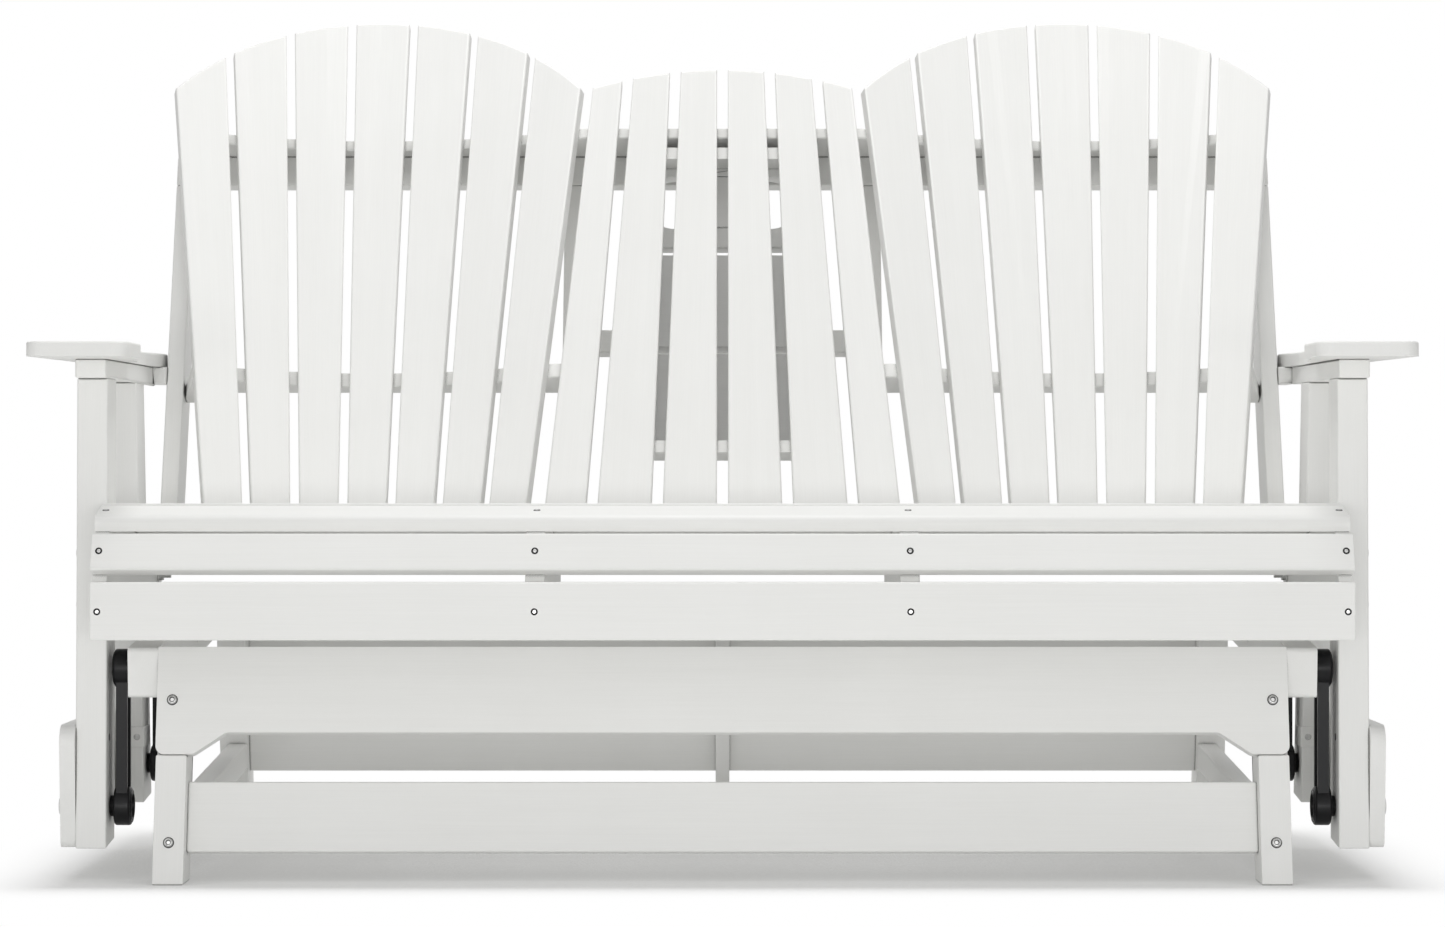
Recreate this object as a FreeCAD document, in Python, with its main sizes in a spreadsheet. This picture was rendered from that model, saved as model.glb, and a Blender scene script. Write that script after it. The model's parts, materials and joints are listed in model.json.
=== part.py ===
import FreeCAD, Part
import Sketcher
import math
import os

# Glider loveseat in poly lumber. Millimetres, front towards -Y, floor at Z = 0.

doc = FreeCAD.newDocument("GliderLoveseat")
sheet = doc.addObject("Spreadsheet::Sheet", "Sheet")


class Size:
    # A driving dimension, or a sum worked out from some, with its value and its sheet formula.
    def __init__(self, value, formula):
        self.value = value
        self.formula = formula

    def __add__(self, other):
        other = as_size(other)
        return Size(self.value + other.value, f"({self.formula} + {other.formula})")

    def __radd__(self, other):
        return as_size(other) + self

    def __sub__(self, other):
        other = as_size(other)
        return Size(self.value - other.value, f"({self.formula} - {other.formula})")

    def __rsub__(self, other):
        return as_size(other) - self

    def __mul__(self, other):
        other = as_size(other)
        return Size(self.value * other.value, f"({self.formula} * {other.formula})")

    def __rmul__(self, other):
        return as_size(other) * self

    def __truediv__(self, other):
        other = as_size(other)
        return Size(self.value / other.value, f"({self.formula} / {other.formula})")

    def __rtruediv__(self, other):
        return as_size(other) / self

    def __neg__(self):
        return Size(-self.value, f"(0 - {self.formula})")


def as_size(number):
    return number if isinstance(number, Size) else Size(float(number), repr(float(number)))


def sine(angle):
    return Size(math.sin(math.radians(angle.value)), f"sin({angle.formula})")


def cosine(angle):
    return Size(math.cos(math.radians(angle.value)), f"cos({angle.formula})")


def tangent(angle):
    return Size(math.tan(math.radians(angle.value)), f"tan({angle.formula})")


def root(number):
    return Size(math.sqrt(number.value), f"sqrt({number.formula})")


sheet_rows = []


def dimension(alias, number):
    row = len(sheet_rows) + 1
    sheet_rows.append(alias)
    sheet.set(f"A{row}", alias)
    sheet.set(f"B{row}", str(number))
    sheet.setAlias(f"B{row}", alias)
    return Size(float(number), f"Sheet.{alias}")


# Overall layout
overall_depth = dimension("overall_depth", 831)
seat_width = dimension("seat_width", 1520)
post_thickness = dimension("post_thickness", 38)
plank = dimension("plank_thickness", 19)
edge_ease = dimension("edge_ease", 3)
corner_round = dimension("corner_round", 20)

# Base
base_depth = dimension("base_depth", 768)
leg_lean = dimension("leg_lean", 13)
leg_depth = dimension("leg_depth", 62)
leg_thickness = dimension("leg_thickness", 38)
beam_thickness = dimension("beam_thickness", 38)
beam_height = dimension("beam_height", 62)
beam_overhang = dimension("beam_overhang", 45)
base_rise_angle = dimension("base_rise_angle", 5.2)
front_board_height = dimension("front_board_height", 133)
front_board_arch = dimension("front_board_arch", 26.5)
board_drop = dimension("board_drop", 3.7)
board_proud = dimension("board_proud", 5)
board_end_tab = dimension("board_end_tab", 46)
lower_rail_height = dimension("lower_rail_height", 86.5)
lower_rail_foot = dimension("lower_rail_foot", 43)
rear_rail_drop = dimension("rear_rail_drop", 6.5)
lower_rail_setback = dimension("lower_rail_setback", 22)
stretcher_width = dimension("stretcher_width", 27)
stretcher_height = dimension("stretcher_height", 35)
stretcher_foot = dimension("stretcher_foot", 55)
stretcher_rise = dimension("stretcher_rise", 36)
stile_depth = dimension("stile_depth", 40)
stile_drop = dimension("stile_drop", 26)

# Swing hangers and pivots
hanger_length = dimension("hanger_length", 171)
hanger_thickness = dimension("hanger_thickness", 20.5)
hanger_head = dimension("hanger_head", 48)
hanger_web_width = dimension("hanger_web_width", 34)
hanger_web = dimension("hanger_web", 7)
hanger_rib = dimension("hanger_rib", 5)
hanger_rib_depth = dimension("hanger_rib_depth", 14)
hanger_beam_gap = dimension("hanger_beam_gap", 1.5)
hanger_post_gap = dimension("hanger_post_gap", 6)
pivot_setback = dimension("pivot_setback", 107)
pivot_height = dimension("pivot_height", 259)
rear_pivot_setback = dimension("rear_pivot_setback", 336)
bush_diameter = dimension("bush_diameter", 30)
bush_flange = dimension("bush_flange", 38)
bush_barrel = dimension("bush_barrel", 26)
bush_fit = dimension("bush_fit", 0.05)
bolt_diameter = dimension("bolt_diameter", 12)
bolt_fit = dimension("bolt_fit", 0.05)
bolt_head = dimension("bolt_head", 24)
bolt_head_height = dimension("bolt_head_height", 6)
nut_width = dimension("nut_width", 19)
nut_height = dimension("nut_height", 9.5)
nut_recess = dimension("nut_recess", 2.5)
running_gap = dimension("running_gap", 0.3)

# Posts, side boards and arms
post_depth = dimension("post_depth", 71)
post_top = dimension("post_top", 618.5)
post_splay_angle = dimension("post_splay_angle", 1.5)
rear_post_lean_angle = dimension("rear_post_lean_angle", 7.5)
post_foot = dimension("post_foot", 47)
side_board_height = dimension("side_board_height", 153)
side_board_rear_height = dimension("side_board_rear_height", 117)
side_board_round = dimension("side_board_round", 22)
arm_rail_height = dimension("arm_rail_height", 23.5)
arm_rail_lead = dimension("arm_rail_lead", 39)
arm_rail_tail = dimension("arm_rail_tail", 52)
arm_thickness = dimension("arm_thickness", 18)
arm_tail = dimension("arm_tail", 126)
arm_overhang = dimension("arm_overhang", 42)
arm_front_width = dimension("arm_front_width", 126)
arm_paddle = dimension("arm_paddle", 110)
arm_waist = dimension("arm_waist", 44)
arm_waist_run = dimension("arm_waist_run", 220)
arm_outer_taper = dimension("arm_outer_taper", 15)
arm_outer_run = dimension("arm_outer_run", 258)
arm_to_upright = dimension("arm_to_upright", 3)
arm_flare = dimension("arm_flare", 80)
arm_cleat_length = dimension("arm_cleat_length", 58)

# Seat frame and slats
side_rail_thickness = dimension("side_rail_thickness", 18)
side_rail_tail = dimension("side_rail_tail", 31)
side_rail_rear_foot = dimension("side_rail_rear_foot", 332)
mid_support_inner = dimension("mid_support_inner", 214)
mid_support_thickness = dimension("mid_support_thickness", 24)
mid_support_tail = dimension("mid_support_tail", 31)
apron_foot = dimension("apron_foot", 300.5)
apron_height = dimension("apron_height", 70)
riser_gap = dimension("riser_gap", 15)
riser_start = dimension("riser_start", 6.5)
riser_width = dimension("riser_width", 47)
riser_lean = dimension("riser_lean", 21.5)
slat_gap = dimension("seat_slat_gap", 9)
nosing_width = dimension("nosing_width", 62)
nosing_round = dimension("nosing_round", 9)
nosing_tilt = dimension("nosing_tilt", 12)
seat_fall_angle = dimension("seat_fall_angle", 7)
seat_back_gap = dimension("seat_back_gap", 10)
seat_slat_count = 4

# Back
back_lean = dimension("back_lean", 20.5)
back_reach = dimension("back_reach", 357)
back_lift = dimension("back_lift", 18.7824)
upright_thickness = dimension("upright_thickness", 23)
upright_depth = dimension("upright_depth", 70)
upright_tail = dimension("upright_tail", 22)
top_rail_foot = dimension("top_rail_foot", 503)
top_rail_height = dimension("top_rail_height", 43)
top_board_thickness = dimension("top_board_thickness", 15)
top_board_back = dimension("top_board_back", 30)
top_board_inset = dimension("top_board_inset", 6)
scallop_front = dimension("scallop_front", 59)
scallop_lug = dimension("scallop_lug", 45)
scallop_back = dimension("scallop_back", 35)
scallop_end_inset = dimension("scallop_end_inset", 6)
scallop_end_notch = dimension("scallop_end_notch", 20)
arm_level_foot = dimension("arm_level_foot", 199)
arm_level_thickness = dimension("arm_level_thickness", 20)
lower_back_rail_thickness = dimension("lower_back_rail_thickness", 16)
middle_rail_foot = dimension("middle_rail_foot", 258)
middle_rail_height = dimension("middle_rail_height", 33)
slat_foot = dimension("back_slat_foot", -2)
slat_seat = dimension("back_slat_seat", 0.3)

# Side sections of the back: seven slats on a fanned scallop
side_slat_count = 7
side_shift = dimension("side_section_shift", 1.3)
side_foot_margin = dimension("side_foot_margin", 106.5)
side_top_overhang = dimension("side_top_overhang", 23)
side_pitch_level = dimension("side_pitch_level", 605)
side_gap = dimension("side_slat_gap", 12.8)
side_turn_angle = dimension("side_turn_angle", 4.8)
side_top = dimension("side_section_top", 730)
side_crown = dimension("side_section_crown", 124)

# Middle section of the back: six slats, the inner four on the console
middle_gap = dimension("middle_slat_gap", 14.5)
middle_foot_width = dimension("middle_slat_foot_width", 71)
middle_top_width = dimension("middle_slat_top_width", 50)
middle_outer_foot = dimension("middle_outer_foot_width", 54)
middle_outer_top = dimension("middle_outer_top_width", 39)
middle_level = dimension("middle_width_level", 612)
middle_top = dimension("middle_section_top", 639)
middle_crown_radius = dimension("middle_crown_radius", 580)

# Console
cleat_thickness = dimension("cleat_thickness", 16.5)
cleat_depth = dimension("cleat_depth", 32)
cleat_half = dimension("cleat_half_length", 124)
batten_thickness = dimension("batten_thickness", 17)
console_board = dimension("console_board_width", 133.5)
console_board_gap = dimension("console_board_gap", 10)
console_board_count = 3
cup_diameter = dimension("cup_diameter", 76)
cup_spacing = dimension("cup_spacing", 128)
hinge_level = dimension("hinge_level", 101)
hinge_arm_thickness = dimension("hinge_arm_thickness", 18)
hinge_arm_gap = dimension("hinge_arm_gap", 2)
hinge_arm_depth = dimension("hinge_arm_depth", 34)
hinge_arm_shoulder = dimension("hinge_arm_shoulder", 68)
hinge_nose_turn = dimension("hinge_nose_angle", 30)
stop_gap = dimension("console_stop_gap", 0.5)
console_gap = dimension("console_face_gap", 1)
console_top_gap = dimension("console_top_gap", 14.5)
pin_diameter = dimension("hinge_pin_diameter", 10)
pin_seat = dimension("hinge_pin_seat", 30)

# Places worked out from the dimensions above
front = -overall_depth / 2
seat_half = seat_width / 2
post_outer = seat_half + post_thickness
hanger_inner = seat_half - hanger_post_gap - hanger_thickness
beam_outer = hanger_inner - hanger_beam_gap
beam_inner = beam_outer - beam_thickness
leg_inner = beam_inner - leg_thickness
rail_inner = seat_half - side_rail_thickness
upright_inner = rail_inner - upright_thickness
arm_outer = post_outer + arm_overhang
base_front = overall_depth - base_depth
pivot_from_front = base_front + pivot_setback
rear_pivot_from_front = overall_depth - rear_pivot_setback
pivot_spacing = rear_pivot_from_front - pivot_from_front
rear_pivot_height = pivot_height + pivot_spacing * tangent(base_rise_angle)
back_from_front = overall_depth - back_reach
arm_rail_front = pivot_from_front - arm_rail_lead
arm_rail_end = rear_pivot_from_front + arm_rail_tail
arm_length = back_from_front + arm_tail
side_rail_length = back_from_front + side_rail_tail
mid_support_length = back_from_front + mid_support_tail
inner_upright = mid_support_inner - upright_thickness
side_span = rail_inner - inner_upright
side_centre = (rail_inner + inner_upright) / 2 - side_shift
side_pitch_foot = (side_span - side_foot_margin) / side_slat_count
side_pitch_top = (side_span + side_top_overhang) / side_slat_count
x_axis = FreeCAD.Vector(1, 0, 0)
z_axis = FreeCAD.Vector(0, 0, 1)

parts = []


def bind(thing, path, size):
    thing.setExpression(path, as_size(size).formula)


def plane_of(body, role):
    return next(item for item in body.Origin.OriginFeatures if item.Role == role)


def new_body(label):
    body = doc.addObject("PartDesign::Body", label)
    body.Label = label
    return body


def attach(body, role, name):
    sketch = body.newObject("Sketcher::SketchObject", name)
    sketch.AttachmentSupport = [(plane_of(body, role), "")]
    sketch.MapMode = "FlatFace"
    return sketch


def bulge_arc(start, end, radius, side):
    # Arc of under a half circle from start to end, bulging to the right (side 1) or the left (-1).
    chord = end - start
    middle = (start + end) * 0.5
    rise = math.sqrt(max(radius * radius - chord.Length * chord.Length / 4, 0))
    normal = FreeCAD.Vector(chord.y, -chord.x, 0).normalize() * side
    centre = middle - normal * rise
    first, last = (start, end) if side > 0 else (end, start)
    turn_from = math.atan2(first.y - centre.y, first.x - centre.x)
    turn_to = math.atan2(last.y - centre.y, last.x - centre.x)
    circle = Part.Circle(centre, z_axis, radius)
    return Part.ArcOfCircle(circle, turn_from, turn_to)


def draw_outline(sketch, corners, arcs):
    # Closed outline with every corner fixed by the sheet. arcs gives (radius, side) by edge number.
    count = len(corners)
    points = [FreeCAD.Vector(as_size(x).value, as_size(y).value, 0) for x, y in corners]
    edges = []
    ends = []
    for number in range(count):
        start = points[number]
        end = points[(number + 1) % count]
        if number in arcs:
            radius, side = arcs[number]
            edges.append(bulge_arc(start, end, as_size(radius).value, side))
            ends.append((1, 2) if side > 0 else (2, 1))
        else:
            edges.append(Part.LineSegment(start, end))
            ends.append((1, 2))
    first = sketch.GeometryCount
    sketch.addGeometry(edges, False)
    rules = []
    sizes = []
    for number in range(count):
        following = (number + 1) % count
        here = first + number
        start_point = ends[number][0]
        rules.append(Sketcher.Constraint("Coincident", here, ends[number][1],
                                         first + following, ends[following][0]))
        sizes.append(None)
        for kind, size in zip(("DistanceX", "DistanceY"), corners[number]):
            rules.append(Sketcher.Constraint(kind, -1, 1, here, start_point, as_size(size).value))
            sizes.append(size)
    for number, (radius, side) in arcs.items():
        rules.append(Sketcher.Constraint("Radius", first + number, as_size(radius).value))
        sizes.append(radius)
    offset = sketch.ConstraintCount
    sketch.addConstraint(rules)
    for number, size in enumerate(sizes):
        if isinstance(size, Size):
            bind(sketch, f"Constraints[{offset + number}]", size)


def draw_circle(sketch, centre_x, centre_y, diameter):
    spot = FreeCAD.Vector(as_size(centre_x).value, as_size(centre_y).value, 0)
    number = sketch.addGeometry(Part.Circle(spot, z_axis, as_size(diameter).value / 2), False)
    for kind, size in (("DistanceX", centre_x), ("DistanceY", centre_y)):
        rule = sketch.addConstraint(Sketcher.Constraint(kind, -1, 1, number, 3, as_size(size).value))
        if isinstance(size, Size):
            bind(sketch, f"Constraints[{rule}]", size)
    rule = sketch.addConstraint(Sketcher.Constraint("Diameter", number, as_size(diameter).value))
    bind(sketch, f"Constraints[{rule}]", diameter)


def pad(body, sketch, length):
    feature = body.newObject("PartDesign::Pad", "Pad")
    feature.Profile = sketch
    bind(feature, "Length", length)
    return feature


def add_block(body, role, corners, arcs, length, offset=0):
    sketch = attach(body, role, "Outline")
    draw_outline(sketch, corners, arcs)
    bind(sketch, "AttachmentOffset.Base.z", offset)
    return pad(body, sketch, length)


def add_disc(body, role, centre_x, centre_y, diameter, length, offset=0):
    sketch = attach(body, role, "Disc")
    draw_circle(sketch, centre_x, centre_y, diameter)
    bind(sketch, "AttachmentOffset.Base.z", offset)
    return pad(body, sketch, length)


def cut_holes(body, role, holes, depth=None, offset=0):
    # Round holes of (x, y, diameter), right through unless a depth is given.
    doc.recompute()
    before = body.Shape.Volume
    sketch = attach(body, role, "Holes")
    for centre_x, centre_y, diameter in holes:
        draw_circle(sketch, centre_x, centre_y, diameter)
    bind(sketch, "AttachmentOffset.Base.z", offset)
    pocket = body.newObject("PartDesign::Pocket", "Pocket")
    pocket.Profile = sketch
    pocket.Reversed = True
    if depth is None:
        pocket.Type = 1
    else:
        bind(pocket, "Length", depth)
    doc.recompute()
    if body.Shape.Volume > before - 1:
        raise RuntimeError(body.Label + " lost nothing to its holes")


def round_edges(body, chosen, radius):
    # Fillets the edges of the present shape for which chosen(edge) is true.
    doc.recompute()
    tip = body.Tip
    names = []
    for number, edge in enumerate(tip.Shape.Edges):
        if chosen(edge):
            names.append(f"Edge{number + 1}")
    fillet = body.newObject("PartDesign::Fillet", "Fillet")
    fillet.Base = (tip, names)
    bind(fillet, "Radius", radius)


def along(axis):
    # Chooses straight edges parallel to an axis of the body.
    def test(edge):
        if edge.Curve.TypeId != "Part::GeomLine":
            return False
        return abs(abs(edge.Curve.Direction.dot(axis)) - 1) < 1e-6
    return test


def on_level(axis, level):
    # Chooses edges that lie wholly at one level along an axis of the body.
    def test(edge):
        places = [vertex.Point.dot(axis) for vertex in edge.Vertexes]
        return all(abs(place - level) < 1e-4 for place in places)
    return test


def place(body, x, y, z, turn=0):
    # Sets the body's origin and its turn about the X axis.
    body.Placement = FreeCAD.Placement(FreeCAD.Vector(0, 0, 0), FreeCAD.Rotation(x_axis, as_size(turn).value))
    for letter, size in zip("xyz", (x, y, z)):
        bind(body, f"Placement.Base.{letter}", size)
    if isinstance(turn, Size):
        bind(body, "Placement.Rotation.Angle", turn)


def keep(label, bodies):
    parts.append((label, bodies))


def side_profile(label, corners, inner, thickness, side, arcs=None, holes=()):
    # Board with its outline in the side view, lying from inner outwards on side 1 (right) or -1 (left).
    body = new_body(label)
    add_block(body, "YZ_Plane", corners, arcs or {}, thickness)
    if holes:
        cut_holes(body, "YZ_Plane", holes)
    start = inner if side > 0 else -(inner + thickness)
    place(body, start, front, 0)
    return body


sides = (("left", -1), ("right", 1))


# The base
def leg_point(across, up, end):
    # A point of a leg from its foot's outer corner, across its depth and up along its lean.
    reach = across * cosine(leg_lean) + up * sine(leg_lean)
    height = up * cosine(leg_lean) - across * sine(leg_lean)
    return (base_front + reach if end == "front" else overall_depth - reach, height)


board_let_in = plank - board_proud
front_leg_top = (pivot_height + beam_height / 2 - board_drop) / cosine(leg_lean)
rear_leg_gain = (base_depth - leg_depth * 2) * tangent(base_rise_angle)
rear_leg_top = front_leg_top + rear_leg_gain
front_board_foot = front_leg_top - front_board_height
rear_board_foot = rear_leg_top - front_board_height
rear_rail_foot = lower_rail_foot + rear_leg_gain - rear_rail_drop


def make_leg(name, side, end):
    top = front_leg_top if end == "front" else rear_leg_top
    foot = front_board_foot if end == "front" else rear_board_foot
    corners = [leg_point(0, 0, end), leg_point(leg_depth, leg_depth * tangent(leg_lean), end),
               leg_point(leg_depth, top, end), leg_point(board_let_in, top, end),
               leg_point(board_let_in, foot, end), leg_point(0, foot, end)]
    holes = []
    if end == "front":
        holes = [(pivot_from_front, pivot_height, bolt_diameter + bolt_fit * 2)]
    label = f"base_{end}_leg_{name}"
    keep(label, [side_profile(label, corners, leg_inner, leg_thickness, side, holes=holes)])


def beam_line(from_pivot, off):
    # A point along the hanger beam, off its pivot line.
    run = from_pivot * cosine(base_rise_angle) - off * sine(base_rise_angle)
    rise = from_pivot * sine(base_rise_angle) + off * cosine(base_rise_angle)
    return (pivot_from_front + run, pivot_height + rise)


def make_beam(name, side):
    run = base_depth - leg_depth - (pivot_from_front - base_front)
    rear = run / cosine(base_rise_angle) - beam_overhang
    half = beam_height / 2
    corners = [beam_line(-beam_overhang, -half), beam_line(rear, -half),
               beam_line(rear, half), beam_line(-beam_overhang, half)]
    bore = bolt_diameter + bolt_fit * 2
    holes = [(pivot_from_front, pivot_height, bore), (rear_pivot_from_front, rear_pivot_height, bore)]
    label = f"hanger_beam_{name}"
    body = side_profile(label, corners, beam_inner, beam_thickness, side, holes=holes)
    round_edges(body, lambda edge: along(x_axis)(edge) and edge.Length > 1, edge_ease * 2)
    keep(label, [body])


def make_stretcher(name, side):
    # Runs from the front leg's back face to the rear leg's front face, between the legs.
    def on_front(height):
        return (base_front + leg_depth / cosine(leg_lean) + height * tangent(leg_lean), height)

    def on_rear(height):
        return (overall_depth - leg_depth / cosine(leg_lean) - height * tangent(leg_lean), height)

    rear_foot = stretcher_foot + stretcher_rise
    corners = [on_front(stretcher_foot), on_rear(rear_foot),
               on_rear(rear_foot + stretcher_height), on_front(stretcher_foot + stretcher_height)]
    label = f"base_stretcher_{name}"
    body = side_profile(label, corners, leg_inner, stretcher_width, side)
    keep(label, [body])


def lean_board(label, corners, arcs, thickness, across, end):
    # Board across the base that leans with the legs. across is its back face's depth into the legs.
    body = new_body(label)
    add_block(body, "XY_Plane", corners, arcs, thickness)
    if end == "front":
        place(body, 0, front + base_front + across * cosine(leg_lean), -(across * sine(leg_lean)),
              90 - leg_lean)
    else:
        place(body, 0, front + overall_depth - (across - thickness) * cosine(leg_lean),
              -((across - thickness) * sine(leg_lean)), 90 + leg_lean)
    return body


def make_arched_board(end):
    half = beam_inner
    foot = front_board_foot if end == "front" else rear_board_foot
    top = front_leg_top if end == "front" else rear_leg_top
    tab = half - board_end_tab
    bend = corner_round * 2
    corners = [(-half, foot), (-tab, foot), (-tab + bend, foot + front_board_arch),
               (tab - bend, foot + front_board_arch), (tab, foot), (half, foot), (half, top), (-half, top)]
    label = f"base_{end}_board"
    body = lean_board(label, corners, {}, plank, board_let_in, end)
    round_edges(body, lambda edge: along(z_axis)(edge) and edge.Vertexes[0].Point.y < top.value - 1,
                corner_round / 2)
    keep(label, [body])


def make_lower_rail(end):
    half = leg_inner
    foot = lower_rail_foot if end == "front" else rear_rail_foot
    low = foot / cosine(leg_lean)
    corners = [(-half, low), (half, low), (half, low + lower_rail_height), (-half, low + lower_rail_height)]
    label = f"base_{end}_rail"
    body = lean_board(label, corners, {}, plank, lower_rail_setback + plank, end)
    keep(label, [body])


def make_stile():
    # Upright on the middle of the rear board and the lower rear rail, hanging a little below the rail.
    top = rear_leg_top
    low = rear_rail_foot / cosine(leg_lean)
    back = lower_rail_setback + plank
    foot = low - stile_drop
    corners = [leg_point(back, foot, "rear"), leg_point(back, low + lower_rail_height, "rear"),
               leg_point(board_let_in, low + lower_rail_height, "rear"), leg_point(board_let_in, top, "rear"),
               leg_point(back + stile_depth, top, "rear"),
               leg_point(back + stile_depth, foot + stile_depth * tangent(leg_lean), "rear")]
    body = new_body("base_centre_stile")
    add_block(body, "YZ_Plane", corners, {}, plank)
    place(body, -plank / 2, front, 0)
    keep("base_centre_stile", [body])


for side_name, side_sign in sides:
    make_leg(side_name, side_sign, "front")
    make_leg(side_name, side_sign, "rear")
    make_beam(side_name, side_sign)
    make_stretcher(side_name, side_sign)
for end_name in ("front", "rear"):
    make_arched_board(end_name)
    make_lower_rail(end_name)
make_stile()


# Swing hangers, their bushes and pivot bolts
bore_diameter = bolt_diameter + bolt_fit * 2
upper_bush_length = hanger_thickness - bolt_head_height - running_gap * 2
nut_seat = nut_recess + nut_height + running_gap
hexagon_corners = 6
pivots = (("front", pivot_from_front, pivot_height), ("rear", rear_pivot_from_front, rear_pivot_height))


def face_side(body, x, y, z, side):
    # Places a body made for the right side, turned half round about Z for the left one.
    turn = 0 if side > 0 else 180
    body.Placement = FreeCAD.Placement(FreeCAD.Vector(0, 0, 0), FreeCAD.Rotation(z_axis, turn))
    for letter, size in zip("xyz", (x * side, front + y, z)):
        bind(body, f"Placement.Base.{letter}", size)


def make_hanger(name, side, end, pivot_y, pivot_z):
    label = f"hanger_{end}_{name}"
    body = new_body(label)
    half = hanger_web_width / 2
    web = [(-half, -hanger_length), (half, -hanger_length), (half, 0), (-half, 0)]
    add_block(body, "YZ_Plane", web, {}, hanger_web, (hanger_thickness - hanger_web) / 2)
    for start in (-half, half - hanger_rib):
        end = start + hanger_rib
        rib = [(start, -hanger_length), (end, -hanger_length), (end, 0), (start, 0)]
        add_block(body, "YZ_Plane", rib, {}, hanger_rib_depth, (hanger_thickness - hanger_rib_depth) / 2)
    for level in (as_size(0), -hanger_length):
        add_disc(body, "YZ_Plane", 0, level, hanger_head, hanger_thickness)
    rim = hanger_head.value / 2

    def head_rim(edge):
        if edge.Curve.TypeId != "Part::GeomCircle" or abs(edge.Curve.Radius - rim) > 0.01:
            return False
        return on_level(x_axis, 0)(edge) or on_level(x_axis, hanger_thickness.value)(edge)

    round_edges(body, head_rim, edge_ease)
    seat_bore = bush_diameter + bush_fit * 2
    cut_holes(body, "YZ_Plane", [(0, 0, seat_bore), (0, -hanger_length, seat_bore)])
    face_side(body, hanger_inner, pivot_y, pivot_z, side)
    keep(label, [body])


def make_bushes(name, side, end, pivot_y, pivot_z):
    # The upper bush has a flange towards the beam and the lower one a barrel towards the post.
    flange = hanger_beam_gap - running_gap
    barrel = hanger_post_gap - running_gap
    upper = new_body("upper_bush")
    add_disc(upper, "YZ_Plane", 0, 0, bush_diameter, upper_bush_length)
    add_disc(upper, "YZ_Plane", 0, 0, bush_flange, flange, -flange)
    lower = new_body("lower_bush")
    add_disc(lower, "YZ_Plane", 0, 0, bush_diameter, hanger_thickness - nut_seat, nut_seat)
    add_disc(lower, "YZ_Plane", 0, 0, bush_barrel, barrel, hanger_thickness)
    for body, level in ((upper, as_size(0)), (lower, hanger_length)):
        cut_holes(body, "YZ_Plane", [(0, 0, bore_diameter)],
                  hanger_thickness + hanger_beam_gap + hanger_post_gap, -hanger_beam_gap)
        face_side(body, hanger_inner, pivot_y, pivot_z - level, side)
    keep(f"hanger_bushes_{end}_{name}", [upper, lower])


def hexagon(width):
    radius = width / 2 / math.cos(math.pi / hexagon_corners)
    corners = []
    for number in range(hexagon_corners):
        turn = 2 * math.pi * number / hexagon_corners
        corners.append((radius * math.cos(turn), radius * math.sin(turn)))
    return corners


def make_bolt(name, side, shank_from, shank_to, head_from, nut_to, pivot_y, pivot_z):
    bolt = new_body(name)
    add_disc(bolt, "YZ_Plane", 0, 0, bolt_diameter, shank_to - shank_from, shank_from)
    add_disc(bolt, "YZ_Plane", 0, 0, bolt_head, bolt_head_height, head_from)
    add_block(bolt, "YZ_Plane", hexagon(nut_width), {}, nut_height, nut_to - nut_height)
    rim = head_from.value + bolt_head_height.value
    round_edges(bolt, on_level(x_axis, rim), edge_ease)
    face_side(bolt, as_size(0), pivot_y, pivot_z, side)
    return bolt


upper_bolts = []
lower_bolts = []
for side_name, side_sign in sides:
    for end_name, pivot_y, pivot_z in pivots:
        make_hanger(side_name, side_sign, end_name, pivot_y, pivot_z)
        make_bushes(side_name, side_sign, end_name, pivot_y, pivot_z)
        nut_face = leg_inner if end_name == "front" else beam_inner
        head_face = hanger_inner + upper_bush_length + running_gap
        upper_bolts.append(make_bolt("upper_bolt", side_sign, nut_face - nut_height - edge_ease, head_face,
                                     head_face, nut_face, pivot_y, pivot_z))
        head_face = post_outer + plank
        nut_face = hanger_inner + nut_recess + nut_height
        lower_bolts.append(make_bolt("lower_bolt", side_sign, nut_face - nut_height - running_gap, head_face,
                                     head_face, nut_face, pivot_y, pivot_z - hanger_length))
keep("upper_pivot_bolts", upper_bolts)
keep("lower_pivot_bolts", lower_bolts)


# Posts, outer side boards, under-arm rails and arms
def lower_line(from_pivot, off):
    # A point along the line through the lower pivots, off that line.
    spot = beam_line(from_pivot, off)
    return (spot[0], spot[1] - hanger_length)


def make_post(name, side, end, pivot_y, pivot_z):
    lean = tangent(post_splay_angle) if end == "front" else -tangent(rear_post_lean_angle)
    low_z = pivot_z - hanger_length

    def edge_at(off, height):
        return pivot_y + off + (height - low_z) * lean

    half = post_depth / 2
    foot = low_z - post_foot
    rise = half * tangent(base_rise_angle)
    corners = [(edge_at(-half, foot - rise), foot - rise), (edge_at(half, foot + rise), foot + rise),
               (edge_at(half, post_top), post_top), (edge_at(-half, post_top), post_top)]
    label = f"{end}_post_{name}"
    holes = [(pivot_y, low_z, bore_diameter)]
    keep(label, [side_profile(label, corners, seat_half, post_thickness, side, holes=holes)])


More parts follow.
